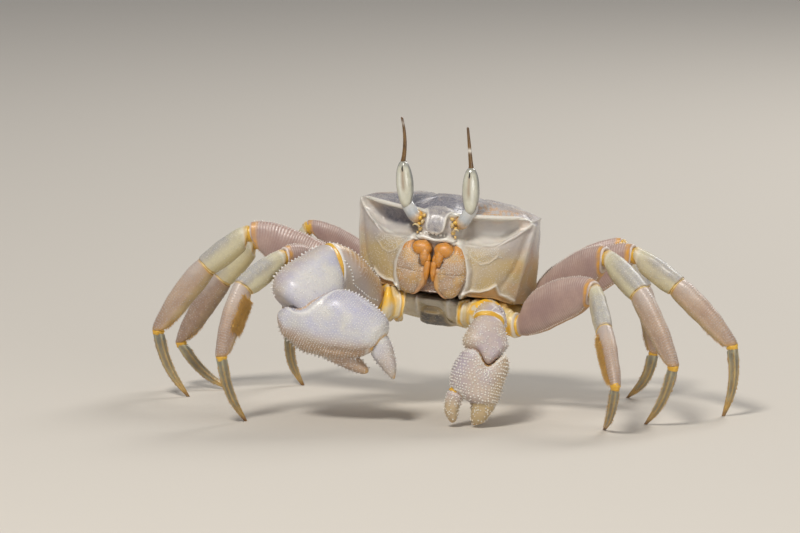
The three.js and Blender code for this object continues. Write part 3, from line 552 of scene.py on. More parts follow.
    def bristles(self, points, ways, places, lengths, radius, tint, seed):
        """Tapering hairs of three sides and three joints, which droop a little."""
        dice = np.random.RandomState(seed)
        first, second = across_pair(ways, unit(np.array([0.2, 0.5, 0.84])))
        bend = unit(dice.normal(size=points.shape) * 0.7 - UP * 0.5)
        rings = []
        for share, wide in ((-0.06, 1.0), (0.4, 0.85), (0.8, 0.5)):
            centre = points + ways * (lengths * share)[:, None]
            centre = centre + bend * (lengths * DROOP * share**2)[:, None]
            for turn in THIRDS:
                aside = first * math.cos(turn) + second * math.sin(turn)
                rings.append(centre + radius * wide * aside)
        tips = points + ways * lengths[:, None] + bend * (lengths * DROOP)[:, None]
        cloud = np.stack(rings + [tips], 1)
        masks = np.zeros((len(points), 10, len(MASKS)))
        masks[...] = tint
        self.copies(cloud, masks, 3, places, dice.uniform(-BRISTLE_PATCH, BRISTLE_PATCH, (10, 2)))

    def build(self, slot, look, *nodes):
        """Makes the mesh, which rides on the root and replaces the named CAD nodes."""
        mesh = bpy.data.meshes.new(self.name)
        points = (np.concatenate(self.points) + CENTRING) * MM
        corners, sizes = np.concatenate(self.corners), np.concatenate(self.sizes)
        mesh.vertices.add(len(points))
        mesh.vertices.foreach_set("co", points.ravel())
        mesh.loops.add(len(corners))
        mesh.loops.foreach_set("vertex_index", corners.astype(np.int32))
        mesh.polygons.add(len(sizes))
        starts = np.concatenate([[0], np.cumsum(sizes)[:-1]])
        mesh.polygons.foreach_set("loop_start", starts.astype(np.int32))
        mesh.polygons.foreach_set("use_smooth", np.ones(len(sizes), bool))
        mesh.uv_layers.new(name="OFBake")
        mesh.uv_layers["OFBake"].data.foreach_set("uv", np.concatenate(self.maps).ravel())
        masks = np.concatenate(self.masks)
        for number, name in enumerate(MASKS):
            layer = mesh.attributes.new(name, "FLOAT", "POINT")
            layer.data.foreach_set("value", masks[:, number].astype(np.float32))
        mesh.update(calc_edges=True)
        mesh.validate()
        piece = bpy.data.objects.new(self.name, mesh)
        bpy.context.scene.collection.objects.link(piece)
        mesh.materials.append(LOOKS[look])
        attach(piece, "root")
        if nodes:
            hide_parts(*nodes)


def inside(maps):
    """Keeps map places a little inside the unit square."""
    return 0.01 + 0.98 * np.clip(maps, 0, 1)


def spaced(points, gap, most):
    """Numbers of points that keep a gap from each other."""
    cells, keep = {}, []
    keys = np.floor(points / gap).astype(int)
    near = [(a, b, c) for a in (-1, 0, 1) for b in (-1, 0, 1) for c in (-1, 0, 1)]
    for number, (key, point) in enumerate(zip(keys.tolist(), points)):
        x, y, z = key
        rivals = [q for a, b, c in near for q in cells.get((x + a, y + b, z + c), ())]
        if rivals and np.min(np.sum((np.array(rivals) - point) ** 2, 1)) < gap * gap:
            continue
        cells.setdefault((x, y, z), []).append(point)
        keep.append(number)
        if len(keep) == most:
            break
    return np.array(keep, int)


# ---------------------------------------------------------------- materials

def linear(colour):
    """An everyday screen colour, 0 to 255, as Blender's linear values."""
    c = np.array(colour) / 255
    c = np.where(c <= 0.04045, c / 12.92, ((c + 0.055) / 1.055) ** 2.4)
    return (*c, 1.0)


class Nodes:
    """Short calls for building a material's node tree."""

    def __init__(self, name):
        self.material = bpy.data.materials.new(name)
        self.material.use_nodes = True
        self.tree = self.material.node_tree
        self.shader = self.tree.nodes["Principled BSDF"]
        self.place = self.tree.nodes.new("ShaderNodeTexCoord").outputs["Object"]

    def link(self, value, socket):
        if isinstance(value, bpy.types.NodeSocket):
            self.tree.links.new(value, socket)
        else:
            socket.default_value = value

    def noise(self, size, detail=3.0, rough=0.55):
        """Noise from 0 to 1 with features of a size in mm."""
        node = self.tree.nodes.new("ShaderNodeTexNoise")
        self.tree.links.new(self.place, node.inputs["Vector"])
        node.inputs["Scale"].default_value = 1 / (size * MM)
        node.inputs["Detail"].default_value = detail
        node.inputs["Roughness"].default_value = rough
        return node.outputs["Fac"]

    def cells(self, size):
        node = self.tree.nodes.new("ShaderNodeTexVoronoi")
        self.tree.links.new(self.place, node.inputs["Vector"])
        node.inputs["Scale"].default_value = 1 / (size * MM)
        return node.outputs["Distance"]

    def mask(self, name):
        node = self.tree.nodes.new("ShaderNodeAttribute")
        node.attribute_name = name
        return node.outputs["Fac"]

    def spread(self, value, low, high, to_low=0.0, to_high=1.0):
        node = self.tree.nodes.new("ShaderNodeMapRange")
        for socket, number in zip(node.inputs, (value, low, high, to_low, to_high)):
            self.link(number, socket)
        return node.outputs["Result"]

    def maths(self, kind, a, b):
        node = self.tree.nodes.new("ShaderNodeMath")
        node.operation = kind
        node.use_clamp = True
        self.link(a, node.inputs[0])
        self.link(b, node.inputs[1])
        return node.outputs[0]

    def blend(self, share, a, b):
        node = self.tree.nodes.new("ShaderNodeMix")
        node.data_type = "RGBA"
        self.link(share, node.inputs["Factor"])
        self.link(a, node.inputs[6])
        self.link(b, node.inputs[7])
        return node.outputs[2]

    def bump(self, height, distance, before=None):
        node = self.tree.nodes.new("ShaderNodeBump")
        self.link(height, node.inputs["Height"])
        node.inputs["Distance"].default_value = distance * MM
        if before:
            self.tree.links.new(before, node.inputs["Normal"])
        return node.outputs["Normal"]

    def finish(self, colour, roughness, normal, sockets):
        """Links what varies over the surface, and sets what doesn't on the shader itself."""
        for socket, value in (("Base Color", colour), ("Roughness", roughness), ("Normal", normal)):
            self.link(value, self.shader.inputs[socket])
        for socket, value in sockets.items():
            self.shader.inputs[socket].default_value = value
        return self.material


SKIN_DEPTH = 0.8 * MM  # how far light spreads below the surface
CUTICLE_SOCKETS = {"Specular IOR Level": 0.55, "Coat Roughness": 0.24, "Subsurface Weight": 0.12,
                   "Subsurface Radius": (1.0, 0.7, 0.5), "Subsurface Scale": SKIN_DEPTH}
GLASS_SOCKETS = {"Coat Weight": 1.0, "Coat Roughness": 0.04, "Subsurface Weight": 0.2,
                 "Subsurface Radius": (1.0, 0.9, 0.7), "Subsurface Scale": SKIN_DEPTH}


def cuticle(name, base, second, under, warm, pale, dusk, rough=(0.34, 0.55), gloss=0.25,
            patch=5.0, grain=0.35, depth=0.05):
    """Shell: two mottled tints, and a colour for each mask stored on the points."""
    n = Nodes(name)
    patches = n.spread(n.noise(patch, 4), 0.38, 0.66)
    colour = n.blend(patches, linear(base), linear(second))
    flecks = n.spread(n.noise(0.5, 3, 0.7), 0.35, 0.75, 0.0, 0.35)
    colour = n.blend(flecks, colour, linear(np.array(second) * 0.86))
    colour = n.blend(n.mask("under"), colour, linear(under))
    ragged = n.spread(n.noise(1.1, 4, 0.65), 0.3, 0.7, 0.55, 1.15)
    for mask, tint in (("warm", warm), ("dusk", dusk)):
        colour = n.blend(n.maths("MULTIPLY", n.mask(mask), ragged), colour, linear(tint))
    colour = n.blend(n.mask("pale"), colour, linear(pale))
    roughness = n.spread(n.noise(0.9, 3), 0.3, 0.7, *rough)
    low = n.bump(n.noise(grain, 3, 0.6), depth)
    return n.finish(colour, roughness, n.bump(n.cells(grain * 0.8), -depth * 0.7, low),
                    {"Coat Weight": gloss, **CUTICLE_SOCKETS})


YELLOW = (232, 172, 40)
ORANGE = (212, 138, 26)
WHITE = (226, 222, 212)
# Colours of each look, 0 to 255: base, second tint, under, warm, pale and dusk.
TINTS = {
    "shell": [(196, 186, 174), (180, 172, 172), (196, 172, 118), (208, 152, 80), WHITE, (98, 96, 110)],
    "belly": [(218, 202, 164), (196, 180, 144), (204, 186, 140), YELLOW, WHITE, (84, 78, 70)],
    "tail": [(196, 176, 130), (166, 150, 120), (182, 162, 118), (196, 160, 84), WHITE, (84, 84, 90)],
    # the mouth's dusk, a deep brown, is painted shadow on the mouth floor and beside the lobes and
    # palps; it also darkens the shield's suture and the palps' knuckles
    "mouth": [(198, 168, 136), (180, 152, 128), (200, 164, 110), ORANGE, WHITE, (62, 36, 18)],
    "stem": [(180, 186, 190), (164, 172, 180), (180, 176, 160), YELLOW, WHITE, (122, 90, 44)],
    "coxa": [(230, 208, 150), (218, 188, 116), (190, 162, 100), (250, 194, 44), WHITE, (140, 98, 44)],
    "joint": [(230, 186, 70), (212, 158, 42), (206, 160, 60), (236, 206, 104), WHITE, (150, 96, 36)],
    "merus": [(180, 152, 142), (164, 136, 130), (184, 140, 92), (222, 162, 56), (220, 210, 200),
              (112, 88, 92)],
    "carpus": [(210, 202, 168), (192, 184, 162), (200, 184, 130), (216, 172, 76), WHITE,
               (156, 155, 164)],
    "propodus": [(192, 166, 142), (176, 148, 128), (184, 160, 108), (206, 156, 62), (206, 204, 204),
                 (138, 112, 96)],
    "dactyl": [(156, 150, 124), (116, 120, 110), (180, 164, 108), (196, 152, 62), (204, 190, 140),
               (108, 66, 24)],
    "claw": [(208, 205, 198), (188, 187, 202), (176, 142, 106), (214, 166, 74), (232, 230, 226),
             (162, 158, 184)],
    "small claw": [(200, 182, 164), (184, 170, 174), (188, 164, 116), (196, 150, 80), (230, 226, 216),
                   (160, 150, 168)],
    "horn": [(120, 88, 40), (96, 66, 28), (150, 110, 60), (160, 110, 40), WHITE, (84, 56, 28)],
    "bristle": [(226, 164, 58), (204, 138, 40), (236, 196, 110), (240, 190, 80), (228, 200, 140),
                (110, 68, 24)],
}
# What differs from a plain shell: roughness range, gloss, and mottle, grain and relief in mm.
FINISHES = {
    "shell": {"gloss": 0.65, "grain": 0.3},
    "stem": {"rough": (0.18, 0.32), "gloss": 0.6, "depth": 0.012},
    "coxa": {"gloss": 0.35},
    "joint": {"rough": (0.28, 0.45), "gloss": 0.4, "grain": 0.5},
    "merus": {"depth": 0.03},
    "propodus": {"depth": 0.04},
    "dactyl": {"rough": (0.25, 0.42), "gloss": 0.5, "patch": 2.5},
    "claw": {"grain": 0.3, "gloss": 0.35},
    "small claw": {"grain": 0.3},
    "horn": {"rough": (0.25, 0.4), "gloss": 0.5, "patch": 2.0, "depth": 0.02},
    "bristle": {"rough": (0.4, 0.6), "gloss": 0.2, "depth": 0.0},
}


def cornea_material():
    """Glassy cream eye: grey towards its edges, with a brown streak below a dark slit, and a pale
    painted highlight.
    """
    n = Nodes("cornea")
    colour = n.blend(n.spread(n.noise(1.6, 3), 0.35, 0.7), linear((210, 209, 192)),
                     linear((192, 190, 172)))
    for mask, tint in (("under", (146, 147, 140)), ("warm", (150, 118, 92)),
                       ("pale", (236, 238, 232)), ("dusk", (18, 14, 12))):
        colour = n.blend(n.mask(mask), colour, linear(tint))
    roughness = n.spread(n.noise(0.6, 2), 0.3, 0.7, 0.1, 0.2)
    return n.finish(colour, roughness, n.bump(n.cells(0.12), 0.004), GLASS_SOCKETS)


LOOKS = {name: cuticle(name, *tints, **FINISHES.get(name, {})) for name, tints in TINTS.items()}
LOOKS["cornea"] = cornea_material()

# ---------------------------------------------------------------- limb plates

END_HOLLOW = 0.35  # how deep the end faces of a plate sink in


def limb_skin(start, end, start_normal, end_normal, across, rows, bow=0.0, breadth=1.0,
              points=44, pitch=0.3, edge=0.45, notch=(0.0, 0.0), closed_tip=False, front=1,
              tail_edge=0):
    """A plate from one joint plane to the next, with rounded rims and sunken end faces.

    notch is how far the rims draw back on the lower side, at the start and at the end.
    """
    start = start + start_normal * SEAM / 2
    end = end if closed_tip else end - end_normal * SEAM / 2
    axis = unit(end - start)
    length = np.linalg.norm(end - start)
    rim = np.array([0, 0.04, 0.12, 0.25, 0.45, 0.7]) * edge / length * 1.4
    middle = np.linspace(rim[-1], 1 - rim[-1], max(12, int(length / pitch)))
    place = np.concatenate([rim[:-1], middle, 1 - rim[-2::-1]])
    wide, thick = (through(rows, place) * breadth).T
    from_end = np.minimum(place, 1 - place) * length
    edges = np.where(place < 0.5, edge, tail_edge or edge)
    inset = edges * (1 - np.sqrt(1 - np.clip(1 - from_end / edges, 0, 1) ** 2))
    if closed_tip:
        inset = np.where(place > 0.5, 0, inset)
    shares = np.stack([np.clip(1 - place / 0.3, 0, 1), np.clip(1 - (1 - place) / 0.3, 0, 1)])
    normal = unit(axis * (1 - shares.sum(0))[:, None] + shares[0][:, None] * start_normal
                  + shares[1][:, None] * end_normal)
    flat = unit(across - normal * (normal @ across)[:, None])
    rise = np.cross(flat, normal)
    lift = unit(np.cross(across, axis))
    centre = start + (end - start) * place[:, None] + lift * (bow * np.sin(math.pi * place))[:, None]
    angle, u, v = around_ring(points, 2.3)
    ring = ring_points(rise, u, wide - inset, flat, v, thick - inset)
    low = np.clip(-np.cos(angle), 0, 1) ** 1.3
    draw = notch[0] * fall(place, 0, 0.25)[:, None] - notch[1] * ramp(place, 0.75, 1)[:, None]
    ring = ring + axis * (draw * low[None])[..., None]
    grid = centre[:, None] + ring
    caps = []
    for row, way in ((0, start_normal), (-1, -end_normal)):
        middle_point = grid[row].mean(0)
        scales = (0.12, 0.4, 0.7, 0.9) if row == 0 else (0.9, 0.7, 0.4, 0.12)
        depth = 0 if closed_tip and row else END_HOLLOW
        caps.append(np.stack([middle_point + (grid[row] - middle_point) * k + way * depth * (1 - k**3)
                              for k in scales]))
    skin = Skin(np.concatenate([caps[0], grid, caps[1]]),
                np.concatenate([np.linspace(0, 0.02, 4), 0.025 + 0.95 * place,
                                np.linspace(0.98, 1, 4)]))
    pad = lambda row: np.concatenate([np.full(4, row[0]), row, np.full(4, row[-1])])[:, None]
    skin.place = pad(place)
    skin.run = skin.place * length
    skin.high = np.broadcast_to(np.cos(angle)[None], skin.grid.shape[:2])
    skin.front = np.broadcast_to(front * np.sin(angle)[None], skin.grid.shape[:2])
    skin.axis = axis
    return skin


def ribs(skin, pitch, height, where, pale, lift=0.0, slant=0.0):
    """Transverse ribs with sharp crests, where the mask is high."""
    wave = 0.5 + 0.5 * np.cos(2 * math.pi * (skin.run + slant * skin.front) / pitch)
    crest = wave**2.2
    skin.push((crest - 0.35) * height * where + lift * where)
    skin.paint("pale", crest * where * pale)


def joint_blob(piece, centre, normal, hint, wide, thick, half_length, tint=(0, 0, 0, 0)):
    """The soft membrane between two plates: a low pod along the limb.

    wide lies along hint x normal, and thick along the third direction.
    """
    rise = unit(np.cross(hint, normal))
    flat = unit(np.cross(normal, rise))
    share = np.sin(np.linspace(-0.49 * math.pi, 0.49 * math.pi, 17))
    swell = np.sqrt(1 - share**2) ** 0.7
    folds = 1 + 0.035 * np.cos(share * 9)
    _, u, v = around_ring(28)
    centres = centre + normal * (share * half_length)[:, None]
    size = swell * folds
    skin = Skin(centres[:, None] + ring_points(rise, u, wide * size, flat, v, thick * size))
    skin.masks[...] = tint
    skin.push(0.08 * wobble(skin.grid, 1.2, 3))
    piece.skin(skin)


def body_blob(piece, place, wide, deep, tall, tint):
    """An upright blob, placed in the body frame."""
    joint_blob(piece, on_body(place), STANCE_TURN @ UP, STANCE_TURN @ REARWARD, wide, deep, tall, tint)


def finish_skin(skin, seed, lumps, size=4.0):
    skin.push(lumps * wobble(skin.grid, size, seed))


def dress_merus(skin, slim):
    top, low = ramp(skin.high, 0.1, 0.95), ramp(-skin.high, 0.25, 0.95)
    body = between(skin.place, 0.04, 0.14, 0.93, 0.985)
    keel = hill(skin.high, 1, 0.09) * body
    skin.push(0.3 * keel * slim)
    edge = (0.2 + 0.8 * top + 0.7 * low * ramp(skin.front, -0.2, 0.5)) * body
    edge = edge * (0.75 + 0.25 * wobble(skin.grid, 0.9, 33))
    ribs(skin, 0.62 * slim, 0.12 * slim, edge, 0.6, slant=0.25)
    skin.paint("under", 0.9 * ramp(-skin.high, 0.55, 1) * fall(skin.front, 0.1, 0.7))
    skin.paint("under", 0.55 * ramp(-skin.high, 0.8, 1))
    knee = ramp(skin.place, 0.925, 0.96) - ramp(skin.place, 0.978, 0.985)
    skin.paint("warm", knee * (0.75 + 0.3 * wobble(skin.grid, 2, 34)))
    skin.paint("pale", 0.8 * ramp(skin.place, 0.985, 0.992) + 0.5 * fall(skin.place, 0.02, 0.06))


def dress_carpus(skin, slim):
    top = ramp(skin.high, -0.15, 0.75)
    skin.push(0.14 * hill(skin.high, 0.85, 0.18) * ramp(skin.place, 0.1, 0.4) * slim)
    skin.push(-0.16 * hill(skin.high, 0.25, 0.16) * ramp(skin.place, 0.15, 0.4) * slim)
    skin.paint("dusk", 0.7 * ramp(skin.high, 0.0, 0.7) * ramp(skin.place, 0.1, 0.5))
    skin.paint("under", 0.7 * ramp(-skin.high, 0.1, 0.8))
    skin.paint("warm", fall(skin.place, 0.05, 0.14) * (0.7 + 0.4 * wobble(skin.grid, 2, 35)))
    skin.paint("pale", 0.5 * hill(skin.place, 0.1, 0.03))
    skin.paint("warm", 0.8 * ramp(skin.place, 0.975, 0.99))
    return top


def dress_propodus(skin, slim):
    top = ramp(skin.high, -0.35, 0.6)
    body = between(skin.place, 0.02, 0.1, 0.93, 1)
    ribs(skin, 0.6 * slim, 0.045 * slim, (0.25 + 0.75 * top) * body, 0.15, slant=-0.3)
    skin.push(-0.14 * hill(skin.high, -0.1, 0.12) * body * slim)
    skin.paint("under", 0.75 * ramp(-skin.high, 0.1, 0.8))
    skin.paint("warm", 0.8 * fall(skin.place, 0.008, 0.02) + 0.7 * ramp(skin.place, 0.93, 0.985))
    skin.paint("warm", 0.3 * ramp(skin.place, 0.7, 0.95) * ramp(-skin.high, -0.3, 0.6))
    skin.paint("pale", 0.4 * fall(skin.place, 0.05, 0.5) * top)
    skin.paint("dusk", 0.5 * ramp(skin.place, 0.4, 0.95) * top)


def dress_dactyl(skin):
    """A fluted blade: raised keels with grooves between them, amber at the tip."""
    angle = np.arccos(np.clip(skin.high, -1, 1))
    flute = np.cos(6 * angle)
    body = between(skin.place, 0.03, 0.15, 0.85, 1)
    skin.push(0.1 * flute * body)
    skin.paint("warm", (0.25 + 0.75 * ramp(flute, 0.2, 0.9)) * 0.7 * ramp(skin.place, 0.05, 0.3))
    skin.paint("warm", 0.8 * ramp(skin.place, 0.6, 0.85))
    skin.paint("pale", 0.45 * ramp(flute, 0.5, 1) * fall(skin.place, 0.5, 0.8))
    skin.paint("dusk", 0.85 * ramp(skin.place, 0.86, 0.98))
    skin.paint("dusk", 0.35 * ramp(-flute, 0.3, 1) * fall(skin.place, 0.5, 0.9))


def leg_joints(side, side_name, index):
    """One walking leg's joint points, the normals of its cuts and its two flat directions."""
    size = LEG_SIZES[index]
    swing, turn, *slopes = LEG_POSES[side_name][index]
    mirror = np.array([side, 1, 1])
    socket, hip = (on_body(np.array(size[k]) * mirror) for k in ("socket", "hip"))
    shank = swing + turn
    ways = [unit(hip - socket), heading(side, swing, slopes[0]), heading(side, shank, slopes[1]),
            heading(side, shank, slopes[2])]
    joints = [socket, hip]
    for way, length in zip(ways[1:], size["lengths"]):
        joints.append(joints[-1] + way * length)
    descent = math.degrees(math.asin(joints[-1][2] / size["lengths"][3]))
    ways.append(heading(side, shank, descent - 180))
    joints.append((joints[-1] + ways[-1] * size["lengths"][3]) * [1, 1, 0])
    normals = [ways[0]] + [unit(a + b) for a, b in zip(ways[:-1], ways[1:])] + [-UP]
    across = [np.cross(heading(side, swing, 0), UP), np.cross(heading(side, shank, 0), UP)]
    return joints, normals, across


def dress_leg_coxa(skin, seed):
    """Yellow blotches, and a pale swollen rim beyond a groove."""
    skin.paint("warm", ramp(wobble(skin.grid, 5, seed), -0.1, 0.5) * ramp(skin.place, 0.05, 0.4))
    skin.paint("pale", 0.8 * ramp(skin.place, 0.86, 0.95))
    skin.push(0.25 * hill(skin.place, 0.92, 0.06) - 0.25 * hill(skin.place, 0.75, 0.09))


def grain_leg(pieces, skins, top, slim, seed, side):
    """Rows of grains on the carpus and propodus, and studs along their edges and the merus'."""
    carpus, propodus = skins["carpus"], skins["propodus"]
    body = between(carpus.place, 0.06, 0.2, 0.93, 1)
    pieces["carpus"].grain_rows(carpus, 0.55, 0.6, 0.12 * slim, 0.08, body * (0.2 + 0.75 * top), 0.6,
                                seed=seed + 1)
    body = between(propodus.place, 0.02, 0.06, 0.9, 1)
    upper = 0.25 + 0.75 * ramp(propodus.high, -0.7, 0.1)
    pieces["propodus"].grain_rows(propodus, 0.6 * slim, 0.52, 0.13 * slim, 0.085, body * upper, 0.55,
                                  seed=seed + 2, slant=1.5)
    # plate, turn, first and last place, pitch, radius, height, paleness and lean
    for plate, turn, low, high, pitch, radius, height, pale, lean in (
        ("carpus", 0.0, 0.12, 0.9, 0.6, 0.17 * slim, 0.18 * slim, 0.7, 0),
        ("propodus", 0.0, 0.08, 0.93, 0.56, 0.15 * slim, 0.17 * slim, 0.7, 0),
        ("merus", 0.0, 0.12, 0.95, 0.62 * slim, 0.19 * slim, 0.38 * slim, 1.0, 0.5),
        ("merus", 0.5 - 0.06 * side, 0.15, 0.93, 0.62 * slim, 0.17 * slim, 0.3 * slim, 0.9, 0),
    ):
        pieces[plate].row_of_studs(skins[plate], turn, low, high, pitch, radius, height, pale,
                                   lean=lean)


def add_leg(side, side_name, index):
    size = LEG_SIZES[index]
    joints, normals, across = leg_joints(side, side_name, index)
    slim, seed = math.sqrt(size["breadth"]), 10 * index + side + 5
    name = f"{side_name}_leg_{index + 1}"
    plans = {
        "coxa": (COXA, slim, 0, across[0], 0.0, (0, 0)),
        "merus": (MERUS, size["breadth"], 1, across[0], BOWS["merus"], (0, 1.3)),
        "carpus": (CARPUS, slim, 2, across[1], 0.0, (1.1, 0.2)),
        "propodus": (PROPODUS, slim, 3, across[1], BOWS["propodus"], (0.2, 0.7)),
        "dactyl": (DACTYL, 1, 4, across[1], BOWS["dactyl"], (0.5, 0)),
    }
    skins = {}
    for plate, (rows, breadth, k, flat, bow, notch) in plans.items():
        ribbed = plate in ("merus", "propodus")
        skins[plate] = limb_skin(
            joints[k], joints[k + 1], normals[k], normals[k + 1], flat, rows,
            bow=bow, breadth=breadth, notch=notch, front=side,
            pitch=0.14 if ribbed else 0.25, points=48 if ribbed else 40,
            edge={"dactyl": 0.3, "propodus": 0.22}.get(plate, 0.5 * slim),
            tail_edge={"carpus": 0.22, "propodus": 0.5}.get(plate, 0),
            closed_tip=plate == "dactyl")
    for plate in ("coxa", "carpus", "merus", "propodus"):
        finish_skin(skins[plate], seed + len(plate), 0.06 * slim)
    dress_merus(skins["merus"], slim)
    top = dress_carpus(skins["carpus"], slim)
    dress_propodus(skins["propodus"], slim)
    dress_dactyl(skins["dactyl"])
    # painted shade: the right third leg's propodus lies in shade, so it is painted darker all over
    if name == "right_leg_3":
        skins["propodus"].paint("dusk", 0.8)
    dress_leg_coxa(skins["coxa"], seed)
    pieces = {plate: Piece(f"{name}_{plate}_shell", skin) for plate, skin in skins.items()}
    grain_leg(pieces, skins, top, slim, seed, side)
    for plate, piece in pieces.items():
        piece.build(plate, plate, f"{name}_{plate}")
    membranes = Piece(f"{name}_joints")
    for k, rows, breadth, flat, reach in (
        (1, COXA, slim, across[0], 1.0), (2, CARPUS, slim, across[1], 1.9),
        (3, CARPUS, slim, across[1], 0.55), (4, PROPODUS, slim, across[1], 1.2),
    ):
        row = rows[0] if k == 2 else rows[-1]
        wide, thick = row[1] * breadth * 0.94, row[2] * breadth * 0.94
        centre = joints[k] - unit(np.cross(flat, normals[k])) * 0.25 * (k == 2)
        joint_blob(membranes, centre, normals[k], flat, wide, thick, reach,
                   (0.8, 0.25, 0, 0) if k == 3 else (0, 0, 0, 0))
    membranes.build("coxa", "joint")
    return skins


# ---------------------------------------------------------------- claws

def hand_skin(rows, wrist, axis, to_finger, outward, points, pitch, edge):
    """A palm, thumb or finger in the hand's own plane, closed round at both ends."""
    across = np.cross(axis, to_finger)
    first, last = rows[0][0], rows[-1][0]
    inner = np.linspace(0, math.pi / 2, 9)
    head = first + edge[0] * (1 - np.cos(inner))
    tail = last - edge[1] * (1 - np.cos(inner))
    middle = np.linspace(head[-1], tail[-1], max(8, int((last - first) / pitch)))
    along = np.concatenate([head[:-1], middle, tail[-2::-1]])
    aside, wide, thick, inwards = through(rows, along).T
    nose = np.clip(1 - (along - first) / edge[0], 0, 1)
    end = np.clip(1 - (last - along) / edge[1], 0, 1)
    close = np.sqrt(np.maximum(1 - nose**2, 0.0004)) * np.sqrt(np.maximum(1 - end**2, 0.0004))
    centre = (wrist + axis * along[:, None] + to_finger * aside[:, None]
              - outward * inwards[:, None])
    angle, u, v = around_ring(points, 2.3)
    skin = Skin(centre[:, None] + ring_points(to_finger, u, wide * close, across, v, thick * close))
    facing = 1 if across @ outward > 0 else -1
    skin.place = ((along - first) / (last - first))[:, None]
    skin.run = along[:, None]
    skin.high = np.broadcast_to(np.cos(angle)[None], skin.grid.shape[:2])
    skin.front = np.broadcast_to(facing * np.sin(angle)[None], skin.grid.shape[:2])
    return skin


def hand_frame(size):
    """Outward, axis and finger directions of a hand."""
    azimuth, slope = size["outward"]
    outward = heading(1, azimuth - 90, slope)
    level = unit(np.cross(UP, outward))
    steep = np.cross(outward, level)
    spin = math.radians(size["spin"])
    axis = level * math.cos(spin) + steep * math.sin(spin)
    return outward, axis, np.cross(outward, axis) * size["thumb"]


def gap_between(skin, other):
    """How far each point of a skin is from the nearest point of another one, in mm."""
    cloud = other.grid[::2].reshape(-1, 3)
    gaps = np.empty(skin.grid.shape[:2])
    for row, points in enumerate(skin.grid):
        gaps[row] = np.sqrt(((points[:, None] - cloud[None]) ** 2).sum(-1).min(1))
    return gaps


def bend_wrist(skin, wrist, axis, to_finger, still, bent):
    """Gives both sides of the small claw's wrist the same V, fading from bent to still."""
    aside = (skin.grid - wrist) @ to_finger / 5
    reach = 2.7 * hill(aside, -0.3, 0.38) - 1.4 * hill(aside, -1.05, 0.35) - 0.5 * hill(aside, 0.5, 0.4)
    skin.grid = skin.grid + axis * (reach * ramp(skin.place, still, bent))[..., None]


def dress_claw_coxa(coxa, side):
    """Curved rings round the socket, then a yellow cap with pale folds below it."""
    finish_skin(coxa, 31 + side, 0.12, 3)
    upward = ramp(coxa.normals()[..., 2], -0.25, 0.3)
    downward = ramp(-coxa.normals()[..., 2], -0.2, 0.5)
    # The socket's rings bow towards the middle of the body, seen from the front.
    ringed = coxa.place + 0.3 * ramp(-coxa.normals()[..., 1], 0, 1) - 0.16
    ridge = hill(ringed, 0.1, 0.035) + hill(ringed, 0.3, 0.04) + 0.5 * hill(ringed, 0.4, 0.03)
    coxa.push(0.35 * ridge - 0.35 * hill(ringed, 0.2, 0.06) - 0.45 * hill(ringed, 0.46, 0.05)
              + 0.55 * hill(ringed, 0.78, 0.2) - 0.2 * hill(coxa.place, 0.95, 0.04))
    folds = hill(ringed, 0.6, 0.035) + hill(ringed, 0.72, 0.03)
    coxa.push(0.22 * folds * downward)
    coxa.paint("warm", 0.95 * hill(ringed, 0.2, 0.07) + 0.5 * hill(ringed, 0.46, 0.03))
    cap = upward * ramp(ringed, 0.44, 0.54) * ramp(wobble(coxa.grid, 3.5, 4 + side), -1.1, -0.4)
    coxa.paint("warm", cap)
    coxa.paint("pale", 0.7 * ridge)
    body = ramp(ringed, 0.47, 0.56) * fall(cap, 0.2, 0.7)
    coxa.paint("pale", body * (0.45 + 0.2 * wobble(coxa.grid, 2.2, 14 + side) + 0.3 * folds))


def dress_hand(palm, thumb, finger, carpus, finish, side):
    """Tan lower edges, a lilac upper side, and yellow seams with a pale welt beside them."""
    finish_skin(palm, 81 + side, 0.14, 7)
    lower = ramp(-palm.high + finish["tan_slant"] * palm.place, *finish["tan_edge"])
    palm.paint("under", finish["palm_tan"] * lower)
    palm.paint("dusk", 0.55 * ramp(palm.high, 0.1, 0.9) * fall(palm.place, 0.7, 1))
    to_carpus = gap_between(palm, carpus)
    palm.push(0.22 * hill(to_carpus, 1.4, 0.35))
    line = finish["wrist_line"]
    palm.paint("warm", 0.9 * fall(to_carpus, line - 0.35, line))
    palm.paint("pale", 0.8 * hill(to_carpus, 1.45, 0.35))
    palm.push(-finish["palm_groove"] * ramp(palm.front, 0.1, 0.8) * hill(palm.high, -0.72, 0.12)
              * ramp(palm.place, 0.35, 0.7))
    thumb.paint("under", 0.8 * ramp(thumb.place, 0, 0.4))
    finger.paint("under", finish["finger_tan"] * ramp(finger.place, 0.1, 0.6))
    to_finger_plate = gap_between(palm, finger)
    palm.paint("warm", 0.8 * fall(to_finger_plate, 0.5, 0.9))
    palm.paint("pale", 0.7 * hill(to_finger_plate, 1.2, 0.35))
    for part in (thumb, finger):
        part.paint("warm", 0.6 * ramp(part.place, 0.9, 1))
        finish_skin(part, 91 + side, 0.07, 4)


